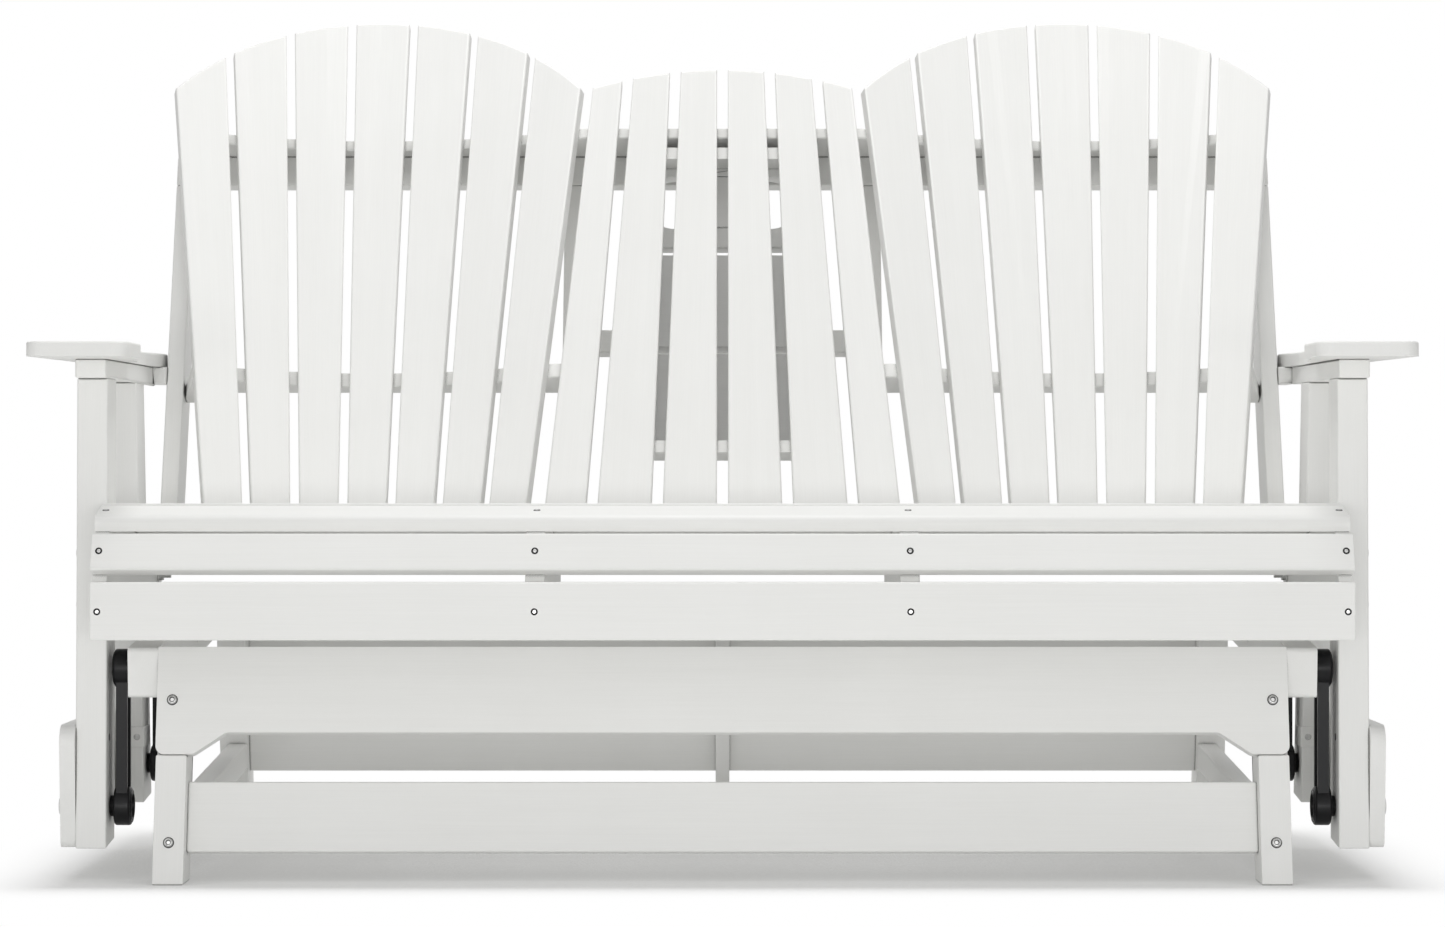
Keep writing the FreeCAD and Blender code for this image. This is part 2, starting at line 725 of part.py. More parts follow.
def make_side_board(name, side):
    half = post_depth / 2
    rear = pivot_spacing / cosine(base_rise_angle) + half
    low = -post_foot
    high = side_board_height - post_foot
    rear_high = side_board_rear_height - post_foot
    corners = [lower_line(-half, low), lower_line(rear, low), lower_line(rear, rear_high),
               lower_line(-half, high)]
    label = f"side_board_{name}"
    holes = [(pivot_y, pivot_z - hanger_length, bore_diameter) for end, pivot_y, pivot_z in pivots]
    body = side_profile(label, corners, post_outer, plank, side, holes=holes)
    middle = lower_line(rear / 2, low + side_board_height / 2)

    def high_corner(edge):
        return along(x_axis)(edge) and edge.Vertexes[0].Point.z > middle[1].value

    def low_corner(edge):
        spot = edge.Vertexes[0].Point
        return along(x_axis)(edge) and any(math.hypot(spot.y - y.value, spot.z - z.value) < 0.01
                                           for y, z in corners[:2])

    round_edges(body, high_corner, side_board_round)
    round_edges(body, low_corner, corner_round / 2)
    keep(label, [body])


def make_arm(name, side):
    # Plan outline drawn for the right arm, from the seat front, mirrored for the left one.
    outer = arm_outer
    tapered = arm_outer - arm_outer_taper
    inner = arm_outer - arm_front_width
    waist = inner + arm_waist
    waist_radius = (arm_waist_run * arm_waist_run + arm_waist * arm_waist) / (4 * arm_waist)
    waist_end = arm_paddle + arm_waist_run
    rear_inner = rail_inner + arm_to_upright
    right = [(inner, 0), (outer, 0), (tapered, arm_outer_run), (tapered, arm_length),
             (rear_inner, arm_length), (waist, arm_rail_end - arm_flare), (waist, waist_end),
             (inner + arm_waist / 2, arm_paddle + arm_waist_run / 2), (inner, arm_paddle)]
    arcs = {6: (waist_radius, 1), 7: (waist_radius, -1)}
    if side < 0:
        right = [(-x, y) for x, y in right]
        arcs = {6: (waist_radius, -1), 7: (waist_radius, 1)}
    label = f"arm_{name}"
    body = new_body(label)
    add_block(body, "XY_Plane", right, arcs, arm_thickness)
    near = corner_round.value

    def front_corner(edge):
        return along(z_axis)(edge) and edge.Vertexes[0].Point.y < near

    def rear_corner(edge):
        return along(z_axis)(edge) and edge.Vertexes[0].Point.y > arm_length.value - near

    round_edges(body, front_corner, corner_round)
    round_edges(body, rear_corner, corner_round / 2)
    round_edges(body, on_level(z_axis, arm_thickness.value), edge_ease)
    place(body, 0, front, post_top + arm_rail_height)
    keep(label, [body])


for side_name, side_sign in sides:
    for end_name, pivot_y, pivot_z in pivots:
        make_post(side_name, side_sign, end_name, pivot_y, pivot_z)
    make_side_board(side_name, side_sign)
    make_arm(side_name, side_sign)
    rail = [(arm_rail_front, post_top), (arm_rail_end, post_top), (arm_rail_end, post_top + arm_rail_height),
            (arm_rail_front, post_top + arm_rail_height)]
    label = f"under_arm_rail_{side_name}"
    cleat_end = arm_rail_end + arm_cleat_length
    cleat = [(arm_rail_end, post_top), (cleat_end, post_top), (cleat_end, post_top + arm_rail_height),
             (arm_rail_end, post_top + arm_rail_height)]
    keep(label, [side_profile(label, rail, seat_half, post_thickness, side_sign),
                 side_profile("arm_cleat_" + side_name, cleat, rail_inner, side_rail_thickness, side_sign)])


# Seat frame and slats. Points are (from the seat front, up).
def shifted(spot, turn, run, off):
    # A point run along a line tilted up by turn towards the rear, and off above that line.
    return (spot[0] + run * cosine(turn) - off * sine(turn), spot[1] + run * sine(turn) + off * cosine(turn))


riser_turn = 90 - riser_lean
apron_top = apron_foot + apron_height
riser_low = (riser_start, apron_top + riser_gap)
riser_high = shifted(riser_low, riser_turn, riser_width, 0)
nosing_front = shifted(riser_high, riser_turn, slat_gap, -plank)
seat_start = shifted(nosing_front, nosing_tilt, nosing_width + slat_gap, 0)
seat_turn = -seat_fall_angle
seat_run = (back_from_front - seat_back_gap - seat_start[0]) / cosine(seat_fall_angle)
seat_slat_width = (seat_run + slat_gap) / seat_slat_count - slat_gap


def slat_solid(label, corner, turn, width, nose=edge_ease):
    # Slat across the whole seat. corner is its lower front corner, turn its tilt and nose its front round.
    body = new_body(label)
    corners = [corner, shifted(corner, turn, width, 0), shifted(corner, turn, width, plank),
               shifted(corner, turn, 0, plank)]
    add_block(body, "YZ_Plane", corners, {}, seat_width)
    for run, radius in ((as_size(0), nose), (width, edge_ease)):
        y, z = shifted(corner, turn, run, plank)

        def on_corner(edge):
            spot = edge.Vertexes[0].Point
            return along(x_axis)(edge) and math.hypot(spot.y - y.value, spot.z - z.value) < 0.01

        round_edges(body, on_corner, radius)
    place(body, -seat_half, front, 0)
    return body


def make_seat_bearer(label, side, inner, thickness, length):
    # Side rail or middle support: its top follows the undersides of the slats.
    riser_back = shifted(riser_low, riser_turn, 0, -plank)
    riser_end = shifted(riser_low, riser_turn, riser_width, -plank)
    nosing_end = shifted(nosing_front, nosing_tilt, nosing_width, 0)
    seat_end = (length, seat_start[1] - (length - seat_start[0]) * tangent(seat_fall_angle))
    front_foot = apron_foot + edge_ease
    corners = [(plank, front_foot), (length, side_rail_rear_foot), seat_end, seat_start, nosing_end,
               nosing_front, riser_end, riser_back, (plank, apron_top)]
    keep(label, [side_profile(label, corners, inner, thickness, side)])


apron = side_profile("seat_apron", [(0, apron_foot), (plank, apron_foot), (plank, apron_top), (0, apron_top)],
                     -seat_half, seat_width, 1)
keep("seat_apron", [apron])
keep("seat_riser_slat", [slat_solid("seat_riser_slat", shifted(riser_low, riser_turn, 0, -plank), riser_turn,
                                    riser_width)])
keep("seat_nosing_slat", [slat_solid("seat_nosing_slat", nosing_front, nosing_tilt, nosing_width,
                                     nosing_round)])
flat_slats = []
for number in range(seat_slat_count):
    corner = shifted(seat_start, seat_turn, (seat_slat_width + slat_gap) * number, 0)
    flat_slats.append(slat_solid(f"seat_slat_{number}", corner, seat_turn, seat_slat_width))
keep("seat_slats", flat_slats)
for side_name, side_sign in sides:
    make_seat_bearer(f"seat_side_rail_{side_name}", side_sign, rail_inner, side_rail_thickness,
                     side_rail_length)
    make_seat_bearer(f"seat_middle_support_{side_name}", side_sign, mid_support_inner, mid_support_thickness,
                     mid_support_length)


# The back. Its own frame: x across, u up along the lean, n forward from the uprights' front faces.
upright_top = top_rail_foot + top_rail_height
seat_rear_level = seat_start[1] - (back_from_front - seat_start[0]) * tangent(seat_fall_angle)
back_foot = seat_rear_level + back_lift
half_section = side_turn_angle * (side_slat_count / 2)


def place_upright_view(body, x):
    # For outlines drawn as (-n, u), padded along x.
    place(body, x, front + back_from_front, back_foot, -back_lean)


def place_plan_view(body):
    # For outlines drawn as (x, -n), padded along u.
    place(body, 0, front + back_from_front, back_foot, -back_lean)


def place_front_view(body):
    # For outlines drawn as (x, u), padded along n.
    place(body, 0, front + back_from_front, back_foot, 90 - back_lean)


def make_upright(label, side, inner):
    corners = [(0, -upright_tail), (upright_depth, -upright_tail), (upright_depth, upright_top),
               (plank, upright_top), (plank, top_rail_foot), (0, top_rail_foot)]
    body = new_body(label)
    add_block(body, "YZ_Plane", corners, {}, upright_thickness)
    place_upright_view(body, inner if side > 0 else -(inner + upright_thickness))
    keep(label, [body])


def flat_board(label, half, foot, height):
    # Straight rail let into the uprights' front faces.
    corners = [(-half, foot), (half, foot), (half, foot + height), (-half, foot + height)]
    body = new_body(label)
    add_block(body, "XY_Plane", corners, {}, plank, -plank)
    place_front_view(body)
    keep(label, [body])


def side_pitch(level):
    return side_pitch_foot + (side_pitch_top - side_pitch_foot) * level / side_pitch_level


def scallop_radius(level):
    return side_pitch(level) / (2 * sine(side_turn_angle / 2))


def scallop_half(level):
    return scallop_radius(level) * sine(half_section)


def scallop_edge(level, past):
    # The scallop's front edge at a distance past the middle of a side section.
    radius = scallop_radius(level)
    return root(radius * radius - past * past) - radius * cosine(half_section) - scallop_front


def make_top_board():
    level = upright_top + top_board_thickness / 2
    radius = scallop_radius(level)
    half = scallop_half(level)
    edge = -scallop_front
    end = rail_inner - top_board_inset
    end_edge = scallop_edge(level, end - side_centre)
    corners = [(-end, end_edge), (-side_centre + half, edge), (side_centre - half, edge), (end, end_edge),
               (end, top_board_back), (-end, top_board_back)]
    body = new_body("scalloped_top_board")
    add_block(body, "XY_Plane", corners, {0: (radius, -1), 2: (radius, -1)}, top_board_thickness, upright_top)
    place_plan_view(body)
    keep("scalloped_top_board", [body])


def side_scallop(label, side, foot, thickness):
    # Scalloped rail behind one side section. It laps the inner upright's front face, and a lug at its other
    # end reaches back along the outer upright.
    level = foot + thickness / 2
    half = scallop_half(level)
    edge = -scallop_front
    past = half - scallop_end_inset
    corners = [(inner_upright, edge), (side_centre - half, edge),
               (side_centre + past, scallop_edge(level, past)),
               (upright_inner, scallop_end_notch), (upright_inner, scallop_back),
               (upright_inner - scallop_lug, scallop_back), (upright_inner - scallop_lug, 0),
               (inner_upright, 0)]
    bulge = -1
    if side < 0:
        corners = [(-x, y) for x, y in corners]
        bulge = 1
    body = new_body(label)
    add_block(body, "XY_Plane", corners, {1: (scallop_radius(level), bulge)}, thickness, foot)
    place_plan_view(body)
    return body


def section_point(turn, level, width):
    # Middle of a slat's back face at a level, as (x from the section's centre, u, n).
    radius = scallop_radius(level).value
    inset = math.sqrt(radius * radius - width * width / 4) - slat_seat.value
    axis = scallop_front.value + radius * cosine(half_section).value
    return FreeCAD.Vector(inset * math.sin(turn), level.value, axis - inset * math.cos(turn))


def crown_level(offset, half, top, crown):
    radius = (half * half + crown * crown) / (2 * crown)
    return top - radius + math.sqrt(radius * radius - offset * offset)


def make_side_slat(side, number):
    # Slat of a side section, numbered from the section's middle towards +x.
    turn = math.radians(side_turn_angle.value) * number
    foot_width = side_pitch(slat_foot) - side_gap
    top_width = side_pitch_top - side_gap
    low = section_point(turn, slat_foot, foot_width.value)
    high = section_point(turn, side_pitch_level, top_width.value)
    chord = FreeCAD.Vector(math.cos(turn), 0, math.sin(turn))
    up = (high - low).normalize()
    face = chord.cross(up).normalize()
    across = up.cross(face)
    run = (high - low).Length
    spread = (top_width - foot_width) / 2 / run
    radius = scallop_radius(side_pitch_level).value
    half = scallop_half(side_pitch_level).value
    crown = side_crown.value
    corners = [(-foot_width / 2, 0), (foot_width / 2, 0)]
    for sign in (1, -1):
        width = sign * top_width.value / 2
        offset = radius * math.sin(turn + width / radius)
        level = crown_level(offset, half, side_top.value, crown)
        rise = (level - slat_foot.value - width * across.y) / up.y
        corners.append(((foot_width / 2 + spread * rise) * sign, rise))
    body = new_body("side_slat")
    crown_radius = (half * half + crown * crown) / (2 * crown)
    add_block(body, "XY_Plane", corners, {2: (crown_radius, 1)}, plank)
    round_edges(body, on_level(z_axis, plank.value), edge_ease)
    back_turn = FreeCAD.Rotation(x_axis, 90 - back_lean.value)
    own_turn = FreeCAD.Rotation(across, up, face, "YZX")
    foot_spot = FreeCAD.Vector(side_centre.value * side, 0, 0) + low
    origin = FreeCAD.Vector(0, front.value + back_from_front.value, back_foot.value)
    body.Placement = FreeCAD.Placement(origin + back_turn.multVec(foot_spot), back_turn.multiply(own_turn))
    return body


def middle_edges(number):
    # Inner and outer edges of a middle slat at its foot and at the width level, counted from the centre.
    foot = middle_gap / 2 + (middle_foot_width + middle_gap) * number
    top = middle_gap / 2 + (middle_top_width + middle_gap) * number
    outermost = number == 2
    foot_width = middle_outer_foot if outermost else middle_foot_width
    top_width = middle_outer_top if outermost else middle_top_width
    return (foot, top), (foot + foot_width, top + top_width)


def make_middle_slat(side, number, back_face):
    inner, outer = middle_edges(number)
    crown = middle_crown_radius.value

    def top_corner(edge):
        level = middle_top.value - crown + math.sqrt(crown * crown - edge[1].value ** 2)
        share = (level - slat_foot) / (middle_level - slat_foot)
        return (edge[0] + (edge[1] - edge[0]) * share, level)

    corners = [(inner[0], slat_foot), (outer[0], slat_foot), top_corner(outer), top_corner(inner)]
    bulge = 1
    if side < 0:
        corners = [(-x, u) for x, u in corners]
        bulge = -1
    body = new_body("middle_slat")
    add_block(body, "XY_Plane", corners, {2: (middle_crown_radius, bulge)}, plank, back_face)
    round_edges(body, on_level(z_axis, (back_face + plank).value), edge_ease)
    place_front_view(body)
    return body


for side_name, side_sign in sides:
    make_upright(f"outer_upright_{side_name}", side_sign, upright_inner)
    make_upright(f"inner_upright_{side_name}", side_sign, inner_upright)
    label = f"arm_level_rail_{side_name}"
    keep(label, [side_scallop(label, side_sign, arm_level_foot, arm_level_thickness)])
    label = f"lower_back_rail_{side_name}"
    keep(label, [side_scallop(label, side_sign, slat_foot, lower_back_rail_thickness)])
    reach = side_slat_count // 2
    slat_numbers = range(-reach, reach + 1)
    keep(f"side_slats_{side_name}", [make_side_slat(side_sign, number) for number in slat_numbers])
flat_board("top_rail", rail_inner, top_rail_foot, top_rail_height)
flat_board("middle_rear_rail", inner_upright, middle_rail_foot, middle_rail_height)
make_top_board()
keep("middle_outer_slats", [make_middle_slat(sign, 2, scallop_front + slat_seat) for name, sign in sides])


# The console: four slats, a frame behind them and three boards, hinged at the bottom cleat
console_face = scallop_front + console_gap
frame_back = console_face - cleat_depth
hinge_reach = console_face - cleat_depth / 2
low_cleat = hinge_level - cleat_thickness / 2
board_run = console_board * console_board_count + console_board_gap * (console_board_count - 1)
console_top = upright_top - console_top_gap
high_cleat = console_top - cleat_thickness
pin_bore = pin_diameter + bolt_fit * 2
arm_inner = cleat_half + hinge_arm_gap
pin_length = pin_seat + hinge_arm_gap + hinge_arm_thickness


def bar(label, left, right, foot, top, back, depth):
    # Straight bar of the console, given in the back's own frame.
    body = new_body(label)
    corners = [(left, foot), (right, foot), (right, top), (left, top)]
    add_block(body, "XY_Plane", corners, {}, depth, back)
    place_front_view(body)
    return body


def make_console_frame():
    upper = bar("upper_cleat", -cleat_half, cleat_half, high_cleat, console_top, frame_back, cleat_depth)
    lower = new_body("lower_cleat")
    near = hinge_reach - cleat_depth / 2
    far = hinge_reach + cleat_depth / 2
    low_top = low_cleat + cleat_thickness
    section = [(-far, low_cleat), (-near, low_cleat), (-near, low_top), (-far, low_top)]
    add_block(lower, "YZ_Plane", section, {}, cleat_half * 2)
    for start in (as_size(0), cleat_half * 2 - pin_seat):
        cut_holes(lower, "YZ_Plane", [(-hinge_reach, hinge_level, pin_bore)], pin_seat, start)
    place_upright_view(lower, -cleat_half)
    battens = []
    for name, left in (("left", -cleat_half), ("right", cleat_half - batten_thickness)):
        battens.append(bar("batten_" + name, left, left + batten_thickness, low_top, high_cleat, frame_back,
                           cleat_depth))
    keep("console_frame", [upper, lower] + battens)


def make_console_boards():
    boards = []
    for number in range(console_board_count):
        foot = console_top - board_run + (console_board + console_board_gap) * number
        boards.append(bar(f"console_board_{number}", -cleat_half, cleat_half, foot, foot + console_board,
                          frame_back - plank, plank))
    middle = console_top - console_board / 2
    cups = [(cup_spacing / 2 * sign, middle, cup_diameter) for sign in (-1, 1)]
    cut_holes(boards[-1], "XY_Plane", cups, plank, frame_back - plank)
    keep("console_boards", boards)


def make_hinge_arm(name, side):
    # Hangs from the middle rear rail. Its lower edge is level, and stops the slats' tails.
    nose = cleat_depth / 2 - stop_gap
    tip = (-hinge_reach + nose * sine(back_lean), hinge_level - nose * cosine(back_lean))
    brow = (-hinge_reach - nose * cosine(hinge_nose_turn), hinge_level + nose * sine(hinge_nose_turn))
    rail_top = middle_rail_foot + middle_rail_height
    corners = [tip, brow, (-hinge_arm_depth, hinge_level + hinge_arm_shoulder), (-hinge_arm_depth, rail_top),
               (0, rail_top), (0, tip[1] - tip[0] * tangent(back_lean))]
    body = new_body("hinge_arm_" + name)
    add_block(body, "YZ_Plane", corners, {0: (nose, -1)}, hinge_arm_thickness)
    cut_holes(body, "YZ_Plane", [(-hinge_reach, hinge_level, pin_bore)])
    place_upright_view(body, arm_inner if side > 0 else -(arm_inner + hinge_arm_thickness))
    return body


def make_pin(name, side):
    body = new_body("hinge_pin_" + name)
    add_disc(body, "YZ_Plane", -hinge_reach, hinge_level, pin_diameter, pin_length)
    inner = cleat_half - pin_seat
    place_upright_view(body, inner if side > 0 else -(inner + pin_length))
    return body


keep("console_slats", [make_middle_slat(sign, number, console_face)
                       for name, sign in sides for number in (0, 1)])
make_console_frame()
make_console_boards()
keep("console_hinge_arms", [make_hinge_arm(name, sign) for name, sign in sides])
keep("console_hinge_pins", [make_pin(name, sign) for name, sign in sides])


doc.recompute()
os.makedirs("parts", exist_ok=True)
for item in doc.Objects:
    if "Invalid" in item.State or "Error" in item.State:
        raise RuntimeError(f"{item.Label} failed: {item.State}")
for label, bodies in parts:
    shapes = [body.Shape for body in bodies]
    for shape in shapes:
        if shape.isNull() or not shape.isValid():
            raise RuntimeError(label + " has no valid solid")
    shape = shapes[0] if len(shapes) == 1 else Part.makeCompound(shapes)
    shape.exportStep(f"parts/{label}.step")
    box = shape.BoundBox
    print(label, len(shape.Solids), f"{box.XMin:.1f} {box.XMax:.1f} {box.YMin:.1f} {box.YMax:.1f}",
          f"{box.ZMin:.1f} {box.ZMax:.1f}")
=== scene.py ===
import json
import math

import bmesh
import bpy
from mathutils import Matrix, Vector


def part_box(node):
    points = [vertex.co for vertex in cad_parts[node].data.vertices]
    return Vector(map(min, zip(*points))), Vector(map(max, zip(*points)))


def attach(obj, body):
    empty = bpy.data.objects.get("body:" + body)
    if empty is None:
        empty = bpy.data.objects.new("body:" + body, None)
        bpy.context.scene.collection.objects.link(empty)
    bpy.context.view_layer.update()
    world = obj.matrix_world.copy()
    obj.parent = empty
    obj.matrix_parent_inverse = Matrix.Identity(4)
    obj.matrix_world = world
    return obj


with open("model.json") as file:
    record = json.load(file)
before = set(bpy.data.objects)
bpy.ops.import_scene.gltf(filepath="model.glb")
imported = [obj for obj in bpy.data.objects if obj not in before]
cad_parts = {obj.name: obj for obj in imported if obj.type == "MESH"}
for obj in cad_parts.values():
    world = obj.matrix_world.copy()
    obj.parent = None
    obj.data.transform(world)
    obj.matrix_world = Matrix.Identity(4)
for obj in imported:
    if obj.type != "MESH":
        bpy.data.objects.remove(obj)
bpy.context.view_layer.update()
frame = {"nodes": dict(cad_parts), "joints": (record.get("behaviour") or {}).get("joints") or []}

nodes = frame["nodes"]
scene = bpy.context.scene
mm = 0.001
middle = 0.5             # mean of a noise and of a random number
pivots = {joint["child"]: joint["pos_m"] for joint in frame["joints"]}
print("frame loaded:", len(nodes), "nodes")


def lowest(node, axis):
    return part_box(node)[0]["xyz".index(axis)]


def highest(node, axis):
    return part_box(node)[1]["xyz".index(axis)]


def midway(node, axis):
    return (lowest(node, axis) + highest(node, axis)) / 2


# The loveseat's own angles and levels, in metres and radians, from the CAD's sizes
layout = {
    "front": lowest("seat_apron", "y"),   # front plane of the seat apron
    "backLean": math.radians(20.5),       # lean of the back
    "backFoot": (0.0, 0.0585, 0.42),      # foot of the back's front face
    "legLean": math.radians(13),
    "rearPostLean": math.radians(7.5),
    "baseRise": math.radians(5.2),
    "sideCentre": 0.4652,                 # middle of a fanned side section
    "sideReach": 2.077,                   # distance from the back's foot down to the fan's meeting point
    "middleReach": 2.49,                  # distance up to where the middle slats would meet
}


class Socket:
    # One value in a shader; sums written on it become Math nodes
    def __init__(self, finish, outlet):
        self.finish = finish
        self.outlet = outlet

    def maths(self, operation, *values):
        return self.finish.add("ShaderNodeMath", {"operation": operation}, dict(enumerate(values)))

    def __add__(self, other):
        return self.maths("ADD", self, other)

    __radd__ = __add__

    def __sub__(self, other):
        return self.maths("SUBTRACT", self, other)

    def __rsub__(self, other):
        return self.maths("SUBTRACT", other, self)

    def __mul__(self, other):
        return self.maths("MULTIPLY", self, other)

    __rmul__ = __mul__

    def __truediv__(self, other):
        return self.maths("DIVIDE", self, other)

    def __rtruediv__(self, other):
        return self.maths("DIVIDE", other, self)

    def clipped(self, low, high):
        return self.maths("MINIMUM", self.maths("MAXIMUM", self, low), high)

    def over(self, low, high):
        return ((self - low) / (high - low)).clipped(0.0, 1.0)

    def stray(self, amount):
        return (self - middle) * amount

    def absolute(self):
        return self.maths("ABSOLUTE", self)

    def root(self):
        return self.maths("SQRT", self)


class Finish:
    # A material, or the world, and its nodes
    def __init__(self, owner):
        self.owner = owner
        owner.use_nodes = True
        self.shaderTree = owner.node_tree
        self.shaderTree.nodes.clear()

    def add(self, kind, settings, values, outlet=0):
        node = self.shaderTree.nodes.new(kind)
        for name, setting in settings.items():
            setattr(node, name, setting)
        for name, value in values.items():
            if isinstance(value, Socket):
                self.shaderTree.links.new(value.outlet, node.inputs[name])
            else:
                node.inputs[name].default_value = value
        return Socket(self, node.outputs[outlet]) if node.outputs else None

    def outlets(self, kind, settings, values, names):
        first = self.add(kind, settings, values)
        return [Socket(self, first.outlet.node.outputs[name]) for name in names]

    def axes(self, spot):
        return self.outlets("ShaderNodeSeparateXYZ", {}, {"Vector": spot}, ("X", "Y", "Z"))

    def spot(self):
        return self.add("ShaderNodeTexCoord", {}, {}, "Object")

    def watched(self):
        # 1 for what the view sees, straight, mirrored or through glass, and 0 for light on its way
        names = ("Is Camera Ray", "Is Glossy Ray", "Is Transmission Ray")
        straight, glossy, through = self.outlets("ShaderNodeLightPath", {}, {}, names)
        return (straight + glossy + through).clipped(0.0, 1.0)

    def noise(self, along, across, depth, detail, roughness=0.5):
        spot = self.add("ShaderNodeCombineXYZ", {}, {"X": along, "Y": across, "Z": depth})
        return self.add("ShaderNodeTexNoise", {"noise_dimensions": "3D"},
                        {"Vector": spot, "Scale": 1.0, "Detail": detail, "Roughness": roughness}, "Fac")

    def blend(self, share, first, second):
        settings = {"data_type": "RGBA", "clamp_factor": True}
        return self.add("ShaderNodeMix", settings, {0: share, 6: first, 7: second}, 2)

    def bump(self, height, strength, distance):
        values = {"Height": height, "Strength": strength, "Distance": distance}
        return self.add("ShaderNodeBump", {}, values)

    def surface(self, **values):
        named = {name.replace("_", " "): value for name, value in values.items()}
        shader = self.add("ShaderNodeBsdfPrincipled", {}, named)
        self.show(shader)
        return self.owner

    def show(self, shader, kind="ShaderNodeOutputMaterial"):
        self.add(kind, {}, {"Surface": shader})


def newFinish(name):
    return Finish(bpy.data.materials.new(name))


# White poly lumber: extruded boards with a fine brushed grain along their length
lumberLook = {
    "pale": (0.86, 0.86, 0.845, 1.0),
    "deep": (0.775, 0.775, 0.755, 1.0),
    "grainLength": 9.0,        # grain lines to the metre along the board
    "grainWidth": 620.0,       # and across it
    "grainDetail": 3.0,
    "grainFineness": 0.6,
    "grainTone": 0.55,         # how far the grain, the streaks, the clouds and the boards differ in tone
    "streakLength": 1.6,
    "streakWidth": 48.0,
    "streakDetail": 2.0,
    "streakTone": 0.36,
    "cloudSize": 7.0,
    "cloudDetail": 3.0,
    "cloudTone": 0.4,
    "boardTone": 0.18,
    "shift": 5.0,              # metres that the grain is shifted by, at most, from board to board
    "roughness": 0.4,
    "streakRoughness": 0.12,
    "grainRoughness": 0.16,
    "grainRelief": 0.7,
    "streakRelief": 0.35,
    "grainDepth": 0.00035,
    "grainStrength": 0.28,
    "shine": 0.42,
    "seam": (0.3, 0.3, 0.29, 1.0),    # shade in the seams where boards meet
    "seamReach": 0.007,
    "seamSamples": 4,
    "seamFrom": 0.2,
    "seamTo": 0.7,
}


def lumberFinish(name, axis, turn=0.0, fan=None):
    look = lumberLook
    finish = newFinish(name)
    spot = finish.spot()
    if turn:
        spot = finish.add("ShaderNodeVectorRotate", {"rotation_type": "X_AXIS"},
                          {"Vector": spot, "Center": layout["backFoot"], "Angle": turn})
    x, y, z = finish.axes(spot)
    along, across, depth = {"x": (x, y, z), "y": (y, x, z), "z": (z, x, y)}[axis]
    if fan:
        # The slats meet at this distance below the foot, or above it where the distance is negative
        centre, reach = fan
        across = (x - centre) / (1.0 + (z - layout["backFoot"][2]) / reach)
    chance = finish.add("ShaderNodeObjectInfo", {}, {}, "Random")
    along = along + chance * look["shift"]
    fine = look["grainWidth"]
    wide = look["streakWidth"]
    soft = look["cloudSize"]
    grain = finish.noise(along * look["grainLength"], across * fine, depth * fine,
                         look["grainDetail"], look["grainFineness"])
    streak = finish.noise(along * look["streakLength"], across * wide, depth * wide, look["streakDetail"])
    cloud = finish.noise(along * soft, across * soft, depth * soft, look["cloudDetail"])
    tone = middle + grain.stray(look["grainTone"]) + streak.stray(look["streakTone"])
    tone = tone + cloud.stray(look["cloudTone"]) + chance.stray(look["boardTone"])
    colour = finish.blend(tone.clipped(0.0, 1.0), look["deep"], look["pale"])
    exposed = finish.add("ShaderNodeAmbientOcclusion", {"samples": look["seamSamples"]},
                         {"Distance": look["seamReach"]}, "AO")
    colour = finish.blend(exposed.over(look["seamFrom"], look["seamTo"]), look["seam"], colour)
    rough = look["roughness"] + streak * look["streakRoughness"] + grain * look["grainRoughness"]
    relief = grain * look["grainRelief"] + streak * look["streakRelief"]
    normal = finish.bump(relief, look["grainStrength"], look["grainDepth"])
    return finish.surface(Base_Color=colour, Roughness=rough, Normal=normal,
                          Specular_IOR_Level=look["shine"])


lumberAcross = lumberFinish("lumberAcross", "x")
lumberFore = lumberFinish("lumberFore", "y")
lumberBeam = lumberFinish("lumberBeam", "y", -layout["baseRise"])
lumberPost = lumberFinish("lumberPost", "z")
lumberRearPost = lumberFinish("lumberRearPost", "z", -layout["rearPostLean"])
lumberFrontLeg = lumberFinish("lumberFrontLeg", "z", layout["legLean"])
lumberRearLeg = lumberFinish("lumberRearLeg", "z", -layout["legLean"])
lumberUpright = lumberFinish("lumberUpright", "z", layout["backLean"])
leftFan = (-layout["sideCentre"], layout["sideReach"])
rightFan = (layout["sideCentre"], layout["sideReach"])
lumberFanLeft = lumberFinish("lumberFanLeft", "z", layout["backLean"], leftFan)
lumberFanRight = lumberFinish("lumberFanRight", "z", layout["backLean"], rightFan)
lumberMiddle = lumberFinish("lumberMiddle", "z", layout["backLean"], (0.0, -layout["middleReach"]))
print("lumber finishes made")

# Black moulded nylon of the swing hangers and their bushes
nylonLook = {
    "dark": (0.004, 0.004, 0.0045, 1.0),
    "dusty": (0.013, 0.013, 0.014, 1.0),
    "cloudSize": 38.0,
    "cloudDetail": 4.0,
    "cloudTone": 0.7,
    "flowWidth": 120.0,        # faint lines along the moulding
    "flowLength": 14.0,
    "flowDetail": 2.0,
    "flowTone": 0.4,
    "toneStart": -0.2,
    "peelSize": 900.0,         # fine orange-peel texture of the mould
    "peelDetail": 2.0,
    "peelDepth": 0.00012,
    "peelStrength": 0.35,
    "flowRelief": 0.3,
    "roughness": 0.2,
    "cloudRoughness": 0.14,
    "peelRoughness": 0.1,
    "shine": 0.19,
}


